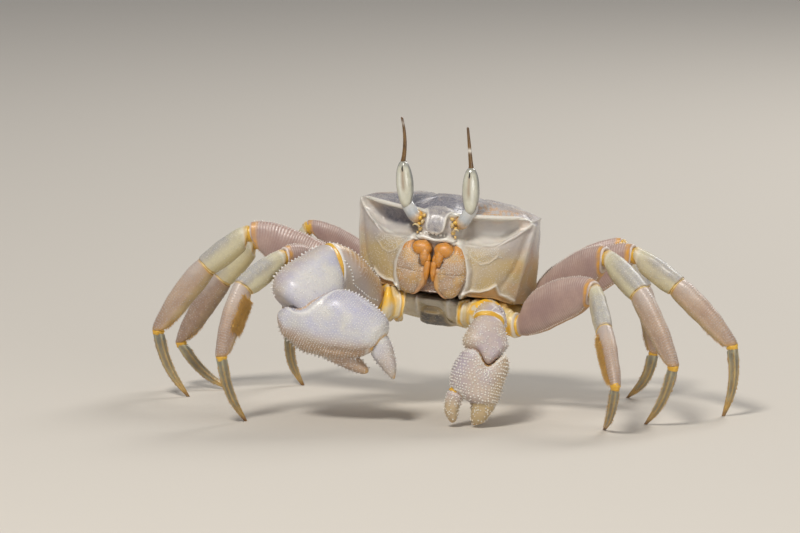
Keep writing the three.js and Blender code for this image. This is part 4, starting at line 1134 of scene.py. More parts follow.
def add_claw(side, side_name):
    size, shape = ARM_SIZES[side_name], HANDS[side_name]
    mirror = np.array([side, 1, 1])
    slim, breadth = math.sqrt(size["breadth"]), size["breadth"]
    finish = CLAW_FINISH[side_name]
    look = finish["look"]
    socket, hip = (on_body(np.array(size[k]) * mirror) for k in ("socket", "hip"))
    coxa_way = unit(hip - socket)
    merus_way, carpus_way = (heading(side, *size[k][:2]) for k in ("merus", "carpus"))
    knee = hip + merus_way * size["merus"][2]
    wrist = knee + carpus_way * size["carpus"][2]
    outward, axis, to_finger = hand_frame(size)
    hip_normal, knee_normal = unit(coxa_way + merus_way), unit(merus_way + carpus_way)
    name = f"{side_name}_claw"

    coxa = limb_skin(socket, hip, coxa_way, hip_normal, UP, ARM_COXA, breadth=slim, points=48)
    dress_claw_coxa(coxa, side)
    piece = Piece(f"{name}_coxa_shell", coxa)
    piece.build("coxa", "coxa", f"{name}_coxa")

    merus = limb_skin(hip, knee, hip_normal, knee_normal, outward, ARM_MERUS, breadth=breadth,
                      points=64, pitch=0.22)
    finish_skin(merus, 41 + side, 0.1, 5)
    ribs(merus, 0.9 * slim, 0.09, ramp(np.abs(merus.high), 0.2, 0.9), 0.4)
    merus.paint("under", finish["merus_tan"] + 0.5 * ramp(-merus.high, 0.1, 0.8))
    merus.paint("dusk", finish["merus_dusk"] * ramp(merus.high, -0.6, 0.2))
    merus.paint("warm", 0.5 * ramp(-merus.high, 0.5, 0.95))
    merus.paint("pale", 0.8 * ramp(merus.place, 0.95, 0.98))
    piece = Piece(f"{name}_merus_shell", merus)
    rim = between(merus.place, 0.05, 0.2, 0.93, 1)
    piece.studs(merus, f"{side_name} claw merus", rim * ramp(np.abs(merus.high), 0, 0.8), side)
    piece.teeth(merus, "merus", slim)
    piece.build("claw", look, f"{name}_merus")

    carpus = limb_skin(knee, wrist, knee_normal, carpus_way, outward, ARM_CARPUS,
                       breadth=breadth * finish["carpus_breadth"], points=80, pitch=0.22,
                       edge=1.4 * slim)
    if side_name == "left":
        bend_wrist(carpus, wrist, axis, to_finger, 0.45, 1)
    finish_skin(carpus, 61 + side, 0.12, 6)
    carpus.paint("dusk", 0.45 * ramp(carpus.place, 0.25, 0.9) * ramp(carpus.high, -0.9, 0.6))
    carpus.paint("under", 0.35 * ramp(-carpus.high, 0.2, 0.9))
    piece = Piece(f"{name}_carpus_shell", carpus)
    rim = ramp(carpus.place, 0.04, 0.15)
    piece.grain_rows(carpus, 0.75 * slim, 0.8 * slim, *finish["carpus_grain"], rim * 0.9, 0.6,
                     seed=71 + side)
    piece.teeth(carpus, "carpus", slim)
    piece.build("claw", look, f"{name}_carpus")

    start = wrist + axis * SEAM / 2
    frame_of_hand = (start, axis, to_finger, outward)
    palm = hand_skin(shape["palm"], *frame_of_hand, finish["palm_columns"], 0.2, finish["palm_ends"])
    thumb = hand_skin(shape["thumb"], *frame_of_hand, 56, 0.22, (1.5, 1.1))
    finger = hand_skin(shape["finger"], *frame_of_hand, 56, 0.2, (1.2, 1.2))
    if side_name == "left":
        bend_wrist(palm, wrist, axis, to_finger, 0.5, 0)
    dress_hand(palm, thumb, finger, carpus, finish, side)
    piece = Piece(f"{name}_palm_shell", palm, thumb)
    piece.grain_rows(palm, finish["palm_pitch"], finish["palm_pitch"], *finish["palm_grain"],
                     0.5 + 0.5 * ramp(palm.front, -0.2, 0.3), finish["palm_pale"], seed=101 + side,
                     stray=0.55)
    piece.studs(thumb, f"{side_name} claw thumb", fall(thumb.place, 0.8, 1), side)
    piece.teeth(palm, f"{side_name} palm", slim)
    piece.teeth(thumb, "thumb", slim)
    piece.build("claw", look, f"{name}_palm")
    piece = Piece(f"{name}_finger_shell", finger)
    piece.studs(finger, f"{side_name} claw finger", fall(finger.place, 0.75, 0.95), side)
    piece.teeth(finger, "finger", slim)
    piece.build("claw", look, f"{name}_finger")

    membranes = Piece(f"{name}_joints")
    joint_blob(membranes, hip, hip_normal, UP, 3.3 * slim, 3.2 * slim, 1.1)
    joint_blob(membranes, knee, knee_normal, outward, 4.9 * breadth, 3.5 * breadth, 1.3)
    ahead, aside, wide, thick = shape["finger"][0][:4]
    hinge = start + axis * (ahead + 0.2) + to_finger * aside
    joint_blob(membranes, hinge - outward * 0.3, axis, outward * size["thumb"], wide * 0.96,
               thick * 0.96, 0.9)
    membranes.build("coxa", "joint")


# ---------------------------------------------------------------- carapace

def wall_height(depth, margin, ridge, rim):
    return np.where(depth < 1, mix(margin, ridge, depth), mix(ridge, rim, depth - 1))


def wall_fall(z):
    return np.clip(z / HEIGHTS["rim_side"], 0, 1)


def front_points(x, depth):
    """The front wall: orbits, cheeks and the middle of the face."""
    share = np.abs(x) / SHELL["corner_x"]
    margin = mix(HEIGHTS["margin_middle"], HEIGHTS["margin_corner"], share**1.5)
    ridge = mix(HEIGHTS["ridge_middle"], HEIGHTS["ridge_corner"], ramp(share, 0.6, 1))
    rim = mix(HEIGHTS["rim_front"], HEIGHTS["rim_side"], ramp(share, 0.75, 1))
    z = wall_height(depth, margin, ridge, rim)
    in_orbit = ramp(np.abs(x), ORBIT["inner"], ORBIT["inner"] + 2)
    in_orbit = in_orbit * fall(np.abs(x), ORBIT["outer"] - 6, ORBIT["outer"])
    hollow = np.where(depth < 1, np.sin(math.pi * np.clip(depth, 0, 1)) ** 0.6, 0)
    notch = hill(np.abs(x), ORBIT["notch_x"], ORBIT["notch_width"])
    cheek = np.where(depth > 1, np.sin(math.pi * (np.clip(depth, 1, 2) - 1)), 0)
    y = mix(SHELL["face_y"], SHELL["corner_y"], share ** SHELL["face_curve"])
    y = y + ORBIT["depth"] * in_orbit * hollow
    y = y + ORBIT["notch_depth"] * notch * np.where(depth < 1, 1 - depth, 0) - 0.7 * cheek
    lean = 1 - 0.14 * wall_fall(z) ** 1.3
    return np.stack([x * lean, y, z], -1)


def side_points(angle, depth):
    """The side and rear wall, at an angle from the left side over the rear."""
    power = 2 / SHELL["side_square"]
    y = SHELL["side_centre_y"] + SHELL["side_y"] * signed_power(np.sin(angle), power)
    taper = 1 - SHELL["side_taper"] * np.maximum(0, y - SHELL["corner_y"])
    x = SHELL["side_x"] * taper * signed_power(np.cos(angle), power)
    to_rear, at_rear = ramp(np.sin(angle), -0.25, 1), ramp(np.sin(angle), 0.8, 1)
    margin = mix(HEIGHTS["margin_corner"], HEIGHTS["margin_rear"], to_rear)
    ridge = mix(HEIGHTS["ridge_corner"], HEIGHTS["ridge_rear"], to_rear)
    rim = mix(HEIGHTS["rim_side"], HEIGHTS["rim_rear"], at_rear)
    z = wall_height(depth, margin, ridge, rim)
    at_corner = 1 - ramp(y, SHELL["corner_y"], 3)
    lean = 1 - mix(-0.045, 0.14, at_corner) * wall_fall(z) ** 1.3
    swell = 0.02 * (1 - at_corner) * np.sin(math.pi * wall_fall(z))
    return np.stack([x * (lean + swell), y * mix(lean, 1, at_corner), z], -1)


FRONT_COLUMNS, SIDE_COLUMNS = 230, 200
CORNER_ROUNDING = 0.9  # how far the outer corners of the orbits are drawn in and down


def wall_grid(depths):
    """Rows of the wall at several depths, from the right orbital corner across the face."""
    depth = np.asarray(depths, float)[:, None]
    x = SHELL["corner_x"] * np.linspace(-1, 1, FRONT_COLUMNS, endpoint=False)[None]
    share = (SHELL["corner_y"] - SHELL["side_centre_y"]) / SHELL["side_y"]
    corner = math.asin(signed_power(share, SHELL["side_square"] / 2))
    angle = np.linspace(corner, math.pi - corner, SIDE_COLUMNS, endpoint=False)[None]
    return np.concatenate([front_points(x + 0 * depth, depth + 0 * x),
                           side_points(angle + 0 * depth, depth + 0 * angle)], 1)


def face_sheet(skin):
    """Places on the front wall: |x| before the lean, height, and how far it is the face."""
    x, z = np.abs(skin.grid[..., 0]), skin.grid[..., 2]
    lean = 1 - 0.14 * wall_fall(z) ** 1.3
    face = np.zeros(x.shape)
    face[:, :FRONT_COLUMNS] = 1
    return x / lean, z, face


def carapace_zones(skin, depth, scale):
    """Masks for the parts of the carapace, in the body frame, before its relief is pushed."""
    x, z, face = face_sheet(skin)
    wall = (scale >= 1) * 1.0
    dome = 1 - wall
    front = wall * face
    columns = np.arange(skin.grid.shape[1])
    from_right = np.minimum(columns, len(columns) - columns)
    from_corner = np.minimum(np.abs(columns - FRONT_COLUMNS), from_right)
    to_frame = line_distance(x, z, MOUTH_FRAME)
    frame_x, frame_z = np.array(MOUTH_FRAME[:1:-1]).T
    rim_height = np.interp(x, *np.array(LOWER_RIM).T)
    return SimpleNamespace(
        x=x, y=skin.grid[..., 1], z=z, face=face, wall=wall, dome=dome, to_frame=to_frame,
        corner=hill(from_corner, 0, 2.2)[None] * wall * fall(depth, 1.2, 2.2),
        margin=wall * hill(depth, 0, 0.1) + dome * hill(scale, 1, 0.016),
        ridge=front * hill(line_distance(x, z, LOWER_RIDGE), 0, 0.34),
        frame=front * hill(to_frame, 0, 0.85),
        mouth=front * (z < -7.2) * ramp(np.interp(z, frame_z, frame_x) - x, 0.2, 1),
        rim=front * hill(line_distance(x, z, LOWER_RIM), 0, 0.3),
        arc=front * hill(line_distance(x, z, GRAIN_ARC), 0, 0.2),
        below=front * ramp(rim_height - z, 0.3, 0.9) * ramp(x, 8.5, 9.5),
        orbit=front * (depth < 0.97) * between(x, 3.4, 5, 20.2, 21.3),
        pit=front * hill(line_distance(x, z, PIT_LINE), 0, 1.9),
        fold=front * hill(line_distance(x, z, FOLD_LINE), 0, 0.7))


def shape_carapace(skin, at, depth, scale):
    """Rims, ridges and grooves."""
    x, y, z = at.x, at.y, at.z
    margin = at.margin * (1 - 0.75 * ramp(x, 15, 21.5)) * (1 - 0.3 * ramp(x, 20.4, 21.5))
    beside_frame = at.wall * at.face * hill(at.to_frame, 1.5, 0.6) * (1 - at.mouth)
    skin.push(0.5 * margin + 0.3 * at.ridge + 0.8 * at.frame + 0.5 * at.rim - 0.5 * at.mouth
              - 0.25 * beside_frame + 0.16 * at.arc + 0.1 * at.corner - 0.55 * at.below
              - 0.3 * at.fold + 0.35 * at.pit * (1 - at.ridge))
    # the outer corners of the orbits are rounded off, the left one more
    behind = y - SHELL["corner_y"]
    to_corner = np.hypot(x - SHELL["corner_x"], behind * mix(1, 0.4, behind > 0))
    blunt = hill(to_corner, 0, 2.2) * fall(depth, 0, 0.9) * mix(0.4, 1, skin.grid[..., 0] > 0)
    shift = CORNER_ROUNDING * np.stack([np.sign(skin.grid[..., 0]), 0 * z, 1 + 0 * z], -1)
    skin.grid = skin.grid - shift * blunt[..., None]
    # grooves of the dome: a shallow letter H around the middle, with swollen flanks
    groove = at.dome * (hill(x, 5.4 + 0.1 * y, 0.8) * between(y, -9, -4, 8, 12)
                        + 0.8 * hill(y, 1.5 + 0.02 * x**2, 0.7) * fall(x, 4.5, 6.5))
    cervical = at.dome * hill(y, -3.5 - 0.28 * (x - 6), 0.7) * between(x, 6, 8, 13, 17)
    lobes = at.dome * (hill(x, 12.5, 5) * hill(y, 6, 6) + 0.5 * hill(x, 0, 4) * hill(y, -6, 5))
    skin.push(-0.34 * groove - 0.26 * cervical + 0.4 * lobes * ramp(1 - scale, 0, 0.2))
    skin.push(0.06 * wobble(skin.grid, 5, 7) * (1 - 0.8 * at.orbit))


def colour_carapace(skin, at, depth, scale):
    """Pale rims and pearly orbits with painted highlights, painted shadow in the right orbit and the
    mouth, a yellowish lower face and a mottled lilac dome.
    """
    x, y, z, across = at.x, at.y, at.z, skin.grid[..., 0]

    def patches(size, seed, low, high):
        return ramp(wobble(skin.grid, size, seed), low, high)

    # the right orbit is dark inside with painted shadow, where the eyestalk shades the orbit's roof,
    # and the left one pearly, with painted highlights
    shade = at.orbit * hill(x, 11, 5) * hill(depth, 0.33, 0.33) * mix(0.3, 1.6, across < 0)
    shade = np.clip(shade, 0, 1)
    # pearly tone of the orbit floor, partly real and partly painted highlight: a brighter left orbit
    # and a bright spot in each orbit
    pearl_and_highlight = mix(0.22, 0.4, across > 0) + 0.3 * patches(4, 9, 0.1, 0.9) * ramp(depth, 0.4, 0.8)
    pearl_and_highlight = pearl_and_highlight + 0.45 * hill(x, 12, 2.6) * hill(z, -4.6, 1.5)
    pearl_and_highlight = at.orbit * (pearl_and_highlight + 0.15 * hill(x, 18, 2.5) * (across < 0)) * (1 - shade)
    skin.paint("pale", at.margin * mix(0.42, 0.85, at.face) + 0.5 * at.ridge + 0.8 * at.frame
               + 0.85 * at.rim + 0.3 * at.arc + 0.5 * at.corner + pearl_and_highlight)
    # painted shadow: the recess inside the mouth frame is painted dark brown
    skin.paint("dusk", 0.75 * at.mouth)
    skin.paint("warm", at.mouth)
    lower_face = at.wall * ramp(-z, 6, 10.5) * (0.65 + 0.35 * patches(9, 2, -0.4, 0.6))
    skin.paint("under", 0.9 * lower_face * (1 - 0.5 * at.frame))
    skin.paint("warm", 0.7 * at.below)
    skin.paint("warm", 0.3 * at.wall * ramp(x, 17.5, 20) * ramp(-z, 4, 9) * patches(4, 19, -0.4, 0.5))
    # orange speckles on the left front of the dome
    speckle = at.dome * ramp(across, 5, 9) * fall(across, 17, 20)
    speckle = speckle * ramp(-y, 6, 10) * fall(scale, 0.985, 0.998)
    skin.paint("warm", 1.2 * speckle * patches(1.1, 12, -0.35, 0.4))
    skin.paint("warm", 0.5 * at.dome * hill(x, 17, 3) * hill(y, -6, 3))
    # lilac at the front, fading into brown mottling at the rear
    top = at.dome * ramp(-scale, -0.985, -0.93)
    lilac = (mix(0.95, 0.4, ramp(y, -13, -2)) + 0.25 * wobble(skin.grid, 6, 15)
             + 0.25 * hill(x, 0, 7) * hill(y, -14, 9))
    skin.paint("dusk", (1 - 0.8 * speckle) * top * lilac)
    brown = patches(5, 16, 0.0, 0.8) * patches(0.9, 17, -0.3, 0.6)
    skin.paint("warm", 0.6 * top * brown * ramp(y, -13, -5))
    skin.paint("dusk", 0.75 * top * (hill(x, 7.5, 2.2) * hill(y, -13.6, 1.6)
                                     + hill(x, 1.5, 1.6) * hill(y, -14, 0.8)))
    # the painted shadow inside the orbits, strongest in the right one
    skin.paint("dusk", shade)
    skin.paint("warm", 0.35 * at.orbit * patches(5, 18, 0.1, 0.9) * ramp(x, 8, 12))


def beads_along(piece, line, spacing, radius, height, face_y, pale):
    """White beads in a row across the middle of the face, given as x and z."""
    line = np.array(line, float)
    run = np.concatenate([[0], np.cumsum(np.hypot(*np.diff(line, axis=0).T))])
    wanted = np.arange(0, run[-1], spacing)
    x, z = np.interp(wanted, run, line[:, 0]), np.interp(wanted, run, line[:, 1])
    points = on_body(np.stack([x, np.full(len(x), face_y), z], 1))
    normals = np.tile(STANCE_TURN @ np.array([0, -1, 0.15]), (len(x), 1))
    size = radius * (1 + 0.2 * np.sin(np.arange(len(x)) * 1.7))
    masks = np.zeros((len(x), len(MASKS)))
    piece.grains(points, unit(normals), masks, np.full((len(x), 2), 0.5), size, height / radius, pale)


def eased(low, high, count):
    """Numbers from low to high that lie closer together at both ends."""
    return low + (high - low) * (0.5 - 0.5 * np.cos(np.linspace(0, math.pi, count)))


def add_carapace():
    """One closed loft: the hidden floor, then up the wall, then in over the dome."""
    depths = np.concatenate([eased(2, 1, 74), eased(1, 0, 60)[1:]])
    scales = np.concatenate([np.linspace(0.998, 0.9, 22), np.linspace(0.89, 0.02, 52)])
    wall = wall_grid(depths)
    rim, top = wall[0], wall[-1]
    floor_scales = np.array([0.02, 0.3, 0.6, SHELL["floor_scale"], 0.9, 0.97])
    floor = rim[None] * floor_scales[:, None, None]
    settle = np.clip((floor_scales - SHELL["floor_scale"]) / (1 - SHELL["floor_scale"]), 0, 1)
    floor[..., 2] = mix(SHELL["floor_z"], rim[None, :, 2], settle[:, None])
    dome = top[None] * scales[:, None, None]
    dome[..., 2] = mix(SHELL["crown"], top[None, :, 2], (scales**2.4)[:, None])
    grid = np.concatenate([floor, wall, dome])
    depth = np.concatenate([np.full(len(floor), 2.3), depths, np.zeros(len(scales))])
    scale = np.concatenate([np.ones(len(floor) + len(depths)), scales])
    along = np.concatenate([np.linspace(0, 0.05, len(floor)), np.linspace(0.06, 0.6, len(depths)),
                            np.linspace(0.605, 1, len(scales))])
    depth, scale = (np.repeat(row[:, None], grid.shape[1], 1) for row in (depth, scale))
    skin = Skin(grid, along)
    at = carapace_zones(skin, depth, scale)
    shape_carapace(skin, at, depth, scale)
    colour_carapace(skin, at, depth, scale)
    x, z = np.abs(skin.grid[..., 0]), skin.grid[..., 2]
    skin.grid = on_body(skin.grid)
    piece = Piece("carapace_shell", skin)
    front = at.wall * at.face
    calm = (1 - at.orbit) * (1 - np.clip(at.margin * 2, 0, 1)) * (1 - at.below)
    face_grain = front * calm * ramp(-z, 7, 9) * (0.35 + 0.65 * ramp(-z, 9, 15))
    piece.studs(skin, "face", face_grain * (1 - at.frame))
    piece.studs(skin, "pit", at.pit * (1 - at.ridge) * (z < -7.4))
    piece.studs(skin, "flank", at.wall * (1 - at.face) * calm * ramp(-z, 1, 4))
    piece.studs(skin, "dome", at.dome * calm * (0.15 + 0.85 * ramp(x, 6, 15)))
    piece.studs(skin, "orbit rim", front * hill(at.ridge, 1, 0.25))
    add_rostrum(piece)
    piece.build("shell", "shell", "carapace")


def numbered(rows):
    return np.array([[i, *row] for i, row in enumerate(rows)], float)


def strip_grid(y, z, half_thickness, half_width, u, v):
    """Rings along a line in the crab's middle plane."""
    travel = unit(np.stack([0 * y, np.gradient(y), np.gradient(z)], 1))
    rise = np.cross(SIDEWAYS, travel)
    centre = np.stack([0 * y, y, z], 1)
    return centre[:, None] + ring_points(rise, u, half_thickness, SIDEWAYS, v, half_width)


def add_rostrum(piece):
    """The tongue that bends down between the eyes, with a raised white rim."""
    rounding = np.sin(np.linspace(0, math.pi / 2, 14))[1:]
    place = np.concatenate([np.linspace(0, 4.2, 40), 4.2 + 0.8 * rounding])
    y, z, wide = through(numbered(ROSTRUM), place).T
    z = z - 1.1 * fall(place, 0, 0.9)  # the root dives into the shell
    wide = wide + 2.2 * fall(place, 0, 1.1)  # the tongue flares into the orbits' margins
    close = np.sqrt(np.clip(1 - np.clip((place - 4.2) / 0.82, 0, 1) ** 2, 0.001, 1))
    angle, u, v = around_ring(64, 2.6)
    grid = strip_grid(y, z, ROSTRUM_THICKNESS / 2 * close, wide * close, u, v)
    shoulder = fall(place, 0.4, 1.6)[:, None] * np.abs(v)[None] ** 2
    grid[..., 2] -= 1.4 * shoulder
    skin = Skin(grid)
    rim = hill(np.abs(np.sin(angle)), 1, 0.14)[None] * ramp(place, 0.6, 1.4)[:, None]
    tip = ramp(place, 4.35, 4.8)[:, None]
    edge = np.maximum(rim, tip * np.ones((1, 64)))
    skin.push(0.3 * rim + 0.15 * tip)
    outer = np.clip(-np.cos(angle), 0, 1)[None]
    face = outer * ramp(place, 0.3, 1)[:, None]
    skin.push(-0.18 * face * hill(np.sin(angle), 0, 0.5)[None] * ramp(place, 1.5, 3)[:, None])
    skin.paint("pale", 0.8 * edge)
    skin.paint("dusk", (0.56 + 0.2 * wobble(grid, 2, 29)) * ramp(outer, 0, 0.4) * (1 - edge))
    skin.grid = on_body(skin.grid)
    piece.skin(skin)
    piece.studs(skin, "rostrum", face * (1 - edge))


def add_face_details():
    """Beads of the epistome and the small knobs at the feet of the eyestalks and feelers."""
    piece = Piece("epistome_beads")
    face_y = SHELL["face_y"] - 0.15
    beads_along(piece, EPISTOME, 0.95, 0.4, 0.3, face_y, 0.75)
    piece.build("shell", "shell")
    # painted shadow: a blob painted deep brown all over fills the gap behind the mouthparts
    floor = Piece("mouth_floor_painted_shadow")
    body_blob(floor, [0, -16.7, -13.2], 3.4, 0.9, 6.4, (0.3, 0, 0, 1.0))
    floor.build("mouth", "mouth")
    knobs = Piece("feeler_bases")
    for side in SIDES.values():
        for x, z, wide, tall, warm, pale in FEELER_KNOBS:
            body_blob(knobs, [side * x, -17.55 + 0.12 * (x - 3), z], wide * 0.85, wide, tall * 0.9,
                      (warm * 0.8, pale * 0.5, 0.8, 0))
    knobs.build("coxa", "coxa")
    feelers = Piece("feelers")
    for side in SIDES.values():
        root = on_body([side * 4.1, -18, -4.4])
        share = np.linspace(0, 1, 22)
        reach = np.stack([side * 1.5 * share, -0.9 * np.sin(share * 2.4),
                          2.2 * share - 1.9 * share**2], 1)
        radius = mix(0.27, 0.14, share) * (1 + 0.06 * np.cos(share * 90))
        skin = tube_skin(root + reach @ STANCE_TURN.T, radius, 12)
        skin.paint("pale", 0.25)
        feelers.skin(skin)
    feelers.build("coxa", "coxa")


def add_leg_roots():
    """The soft lumps under the rim of the shell that the limbs grow from."""
    roots = Piece("leg_roots")
    for side in SIDES.values():
        for index, size in enumerate(LEG_SIZES):
            for number, (out, back, up, wide, tall) in enumerate(LEG_ROOT_LUMPS):
                place = np.array(size["socket"]) + [out, back, up]
                warm = 0.9 if (number + index) % 2 else 0.15
                body_blob(roots, place * [side, 1, 1], wide, wide, tall, (warm, 0.25, 0.2, 0))
    roots.build("coxa", "coxa")


def tube_skin(centre, radius, points):
    """A round tube through points, closed at both ends."""
    first, second = across_pair(unit(np.gradient(centre, axis=0)), REARWARD + 0.01)
    _, u, v = around_ring(points)
    return Skin(centre[:, None] + ring_points(first, u, radius, second, v, radius))


# ---------------------------------------------------------------- underside and mouth

def add_sternum():
    place = np.concatenate([np.linspace(-14.3, -12.6, 40), np.linspace(-12.4, 14, 84)])
    z, high, wide = through(STERNUM, place).T
    close = np.sqrt(np.clip(1 - np.clip(np.abs(place + 0.15) / 14.2, 0, 1) ** 8, 0.01, 1))
    angle, u, v = around_ring(96, 2.8)
    centre = np.stack([0 * z, place, z], 1)
    # up x across is the direction of travel, which here runs rearwards
    grid = centre[:, None] + ring_points(UP, u, high * close, SIDEWAYS, v, wide * close)
    skin = Skin(grid)
    lower = np.clip(-np.cos(angle), 0, 1)[None]
    off_middle = np.abs(grid[..., 0])
    groove = sum(hill(place[:, None], seam - 0.06 * off_middle, 0.35) for seam in STERNUM_SEAMS)
    skin.push(-0.3 * groove * lower * ramp(off_middle, 3, 5) + 0.08 * wobble(skin.grid, 4, 21))
    skin.paint("pale", 0.5 * ramp(wobble(skin.grid, 7, 22), 0.2, 0.7))
    front = 1 - ramp(grid[..., 1], -12, -8)
    skin.paint("under", 0.6 * lower * (1 - 0.6 * front))
    border = front * (hill(off_middle, 3.9, 0.35) + hill(off_middle, 7.2, 0.4))
    skin.push(0.25 * border - 0.2 * front * hill(off_middle, 5.5, 1.2))
    skin.paint("pale", 1.2 * border + 0.9 * front * hill(off_middle, 5.5, 1.8))
    skin.paint("dusk", 0.5 * front * fall(off_middle, 2.6, 3.4))
    skin.grid = on_body(skin.grid)
    piece = Piece("sternum_plates", skin)
    piece.studs(skin, "sternum", lower * (0.3 + 0.7 * (groove < 0.3)))
    piece.build("belly", "belly", "sternum")


def add_abdomen():
    place = np.concatenate([[0, 0.03], np.linspace(0.08, 5.7, 130), [5.82, 5.92, 5.98, 6]])
    y, z, wide = through(numbered(ABDOMEN), place).T
    close = np.ones(len(place))
    close[:2] = (0.5, 0.85)
    wide = wide * (1 - 0.22 * fall(place, 0, 1.2))  # the first rings are narrower
    close[-4:] = (0.9, 0.75, 0.5, 0.15)
    angle, u, v = around_ring(80, 2.8)
    skin = Skin(strip_grid(y, z, ABDOMEN_THICKNESS / 2 * close, wide * close, u, v))
    outer = np.clip(np.cos(angle), 0, 1)[None]
    groove = sum(hill(place, seam, 0.05) for seam in ABDOMEN_SEAMS)[:, None]
    swell = sum(hill(place, seam + 0.3, 0.22) for seam in ABDOMEN_SEAMS)[:, None]
    skin.push((0.16 * swell - 0.4 * groove) * outer + 0.05 * wobble(skin.grid, 3, 23))
    skin.paint("dusk", (0.95 * between(place, 4.3, 4.7, 5.5, 5.65))[:, None]
               * (1 - 0.6 * ramp(np.abs(np.sin(angle)), 0.7, 1))[None])
    skin.paint("warm", 0.4 * ramp(place, 5.78, 5.9)[:, None])
    skin.paint("warm", 0.5 * hill(place, 4.4, 0.12)[:, None])
    bend = place[:, None] - 0.18 * np.sin(angle)[None] ** 2
    narrow = fall(np.abs(np.sin(angle)), 0.35, 0.7)[None]
    skin.push(0.25 * hill(bend, 5.68, 0.06) * narrow)
    skin.paint("dusk", 0.45 * ramp(bend, 5.7, 5.78))
    skin.paint("warm", 0.9 * hill(bend, 5.7, 0.07) * narrow)
    skin.paint("pale", 0.7 * hill(bend, 5.64, 0.04) * narrow
               + 0.4 * hill(np.abs(np.sin(angle)), 1, 0.05)[None])
    skin.grid = on_body(skin.grid)
    piece = Piece("abdomen_plates", skin)
    piece.studs(skin, "abdomen", outer * (groove < 0.3))
    piece.build("tail", "tail", "abdomen")


def pod_skin(side, pod, rows, columns, blunt):
    """A tall pod, flattened from front to back, in the body frame."""
    share = 0.5 - 0.5 * np.cos(np.linspace(0.04, math.pi - 0.04, rows))
    swell = np.sin(math.pi * share) ** blunt
    angle, u, v = around_ring(columns, 2.2)
    centre = np.stack([np.full(rows, side * pod["x"]), np.full(rows, pod["y"]),
                       mix(pod["bottom"], pod["top"], share)], 1)
    skin = Skin(centre[:, None]
                + ring_points(SIDEWAYS, u, pod["wide"] * swell, REARWARD, v, pod["deep"] * swell))
    skin.share = share[:, None]
    skin.inner = np.broadcast_to(-side * np.cos(angle)[None], skin.grid.shape[:2])
    skin.front = np.broadcast_to(-np.sin(angle)[None], skin.grid.shape[:2])
    return skin


def mouth_pod(side, pod, rows, columns, seed):
    skin = pod_skin(side, pod, rows, columns, blunt=0.42)
    skin.push(0.04 * wobble(skin.grid, 1.6, seed))
    skin.paint("warm", 1.0)
    return skin


def add_mouthpart(side, side_name):
    """A granular shield, with the orange lobes and palp that fill the gap beside it."""
    shield = pod_skin(side, MOUTH_SHIELD, 120, 96, blunt=0.44)
    share, inner = shield.share, shield.inner
    face = ramp(shield.front, -0.1, 0.5)
    # The lobes sit on the inner upper corner, and the inner edge below them is straight.
    shield.grid[..., 0] -= side * 0.9 * ramp(inner, 0.2, 1) * hill(share, 0.78, 0.18)
    shield.grid[..., 0] -= side * 0.65 * ramp(inner, 0.1, 1) * hill(share, 0.2, 0.22)
    shield.grid[..., 0] += side * 0.35 * ramp(-inner, 0.2, 1) * ramp(share, 0.7, 1)
    suture = hill(share + 0.02 * inner, 0.45, 0.011) * face
    brim = hill(inner, 0.86, 0.1) * face * fall(share, 0.7, 0.85)
    shield.push(-0.16 * suture + 0.2 * brim - 0.2 * hill(inner, 0.62, 0.1) * face * (share < 0.8)
                + 0.08 * wobble(shield.grid, 3, 25))
    shield.paint("warm", 0.8 * ramp(share - 0.12 * inner, 0.84, 0.95))
    shield.paint("warm", 0.75 * ramp(inner, 0.6, 0.85) * (1 - 0.5 * brim))
    shield.paint("under", 0.8 * ramp(wobble(shield.grid, 4, 30), -0.3, 0.7))
    blotches = ramp(wobble(shield.grid, 2.5, 28), 0.2, 0.9)
    shield.paint("warm", 0.1 * ramp(share, 0.5, 0.8) + 0.15 * blotches)
    shield.paint("dusk", 0.3 * suture)
    lobes = [mouth_pod(side, pod, 50, 48, 250 + number) for number, pod in enumerate(MOUTH_LOBES)]
    to_lobes = np.minimum(*[gap_between(shield, lobe) for lobe in lobes])
    # painted shade: the shield sinks beside the lobes and is painted dark there
    shield.push(-0.25 * fall(to_lobes, 0.3, 0.9))
    shield.paint("dusk", 0.8 * fall(to_lobes, 0.25, 0.6))
    shield.grid = on_body(shield.grid)
    piece = Piece(f"{side_name}_mouth_shield", shield)
    grainy = (face * fall(inner, 0.55, 0.75) * ramp(0.95 - share, 0, 0.2)
              * (0.2 + 0.8 * ramp(share, 0.25, 0.6)))
    piece.studs(shield, "mouth shield", grainy, side)
    for number, lobe in enumerate(lobes):
        crease = hill(lobe.share, 0.5, 0.03) if number == 1 else 0 * lobe.share
        lobe.push(-0.1 * crease + 0.1 * wobble(lobe.grid, 2.4, 270 + number))
        # painted shade on each lobe's back and sides
        lobe.paint("dusk", 0.85 * ramp(-lobe.front, -0.6, 0.1))
        lobe.grid = on_body(lobe.grid)
        piece.skin(lobe)
        piece.studs(lobe, "mouth lobe", ramp(lobe.front, 0, 0.5), number)
    palp = mouth_pod(side, PALP, 80, 40, 26)
    knuckle = hill(palp.share, 0.72, 0.02)
    palp.push(-0.12 * knuckle)
    # painted shade on the palp's back and sides; its knuckle line is darker too
    palp.paint("dusk", 0.5 * knuckle + 0.8 * ramp(-palp.front, -0.75, 0))
    palp.grid = on_body(palp.grid)
    piece.skin(palp)
    piece.build("mouth", "mouth", f"{side_name}_maxilliped")


# ---------------------------------------------------------------- eyes

def leaning(side, lean):
    return np.array([side * math.sin(math.radians(lean)), 0, math.cos(math.radians(lean))])


def level_tube(points, radii, count):
    """Rings that stay level, through points, with one radius for each."""
    angle, u, v = around_ring(count)
    return Skin(points[:, None] + ring_points(SIDEWAYS, u, radii, REARWARD, v, radii)), angle


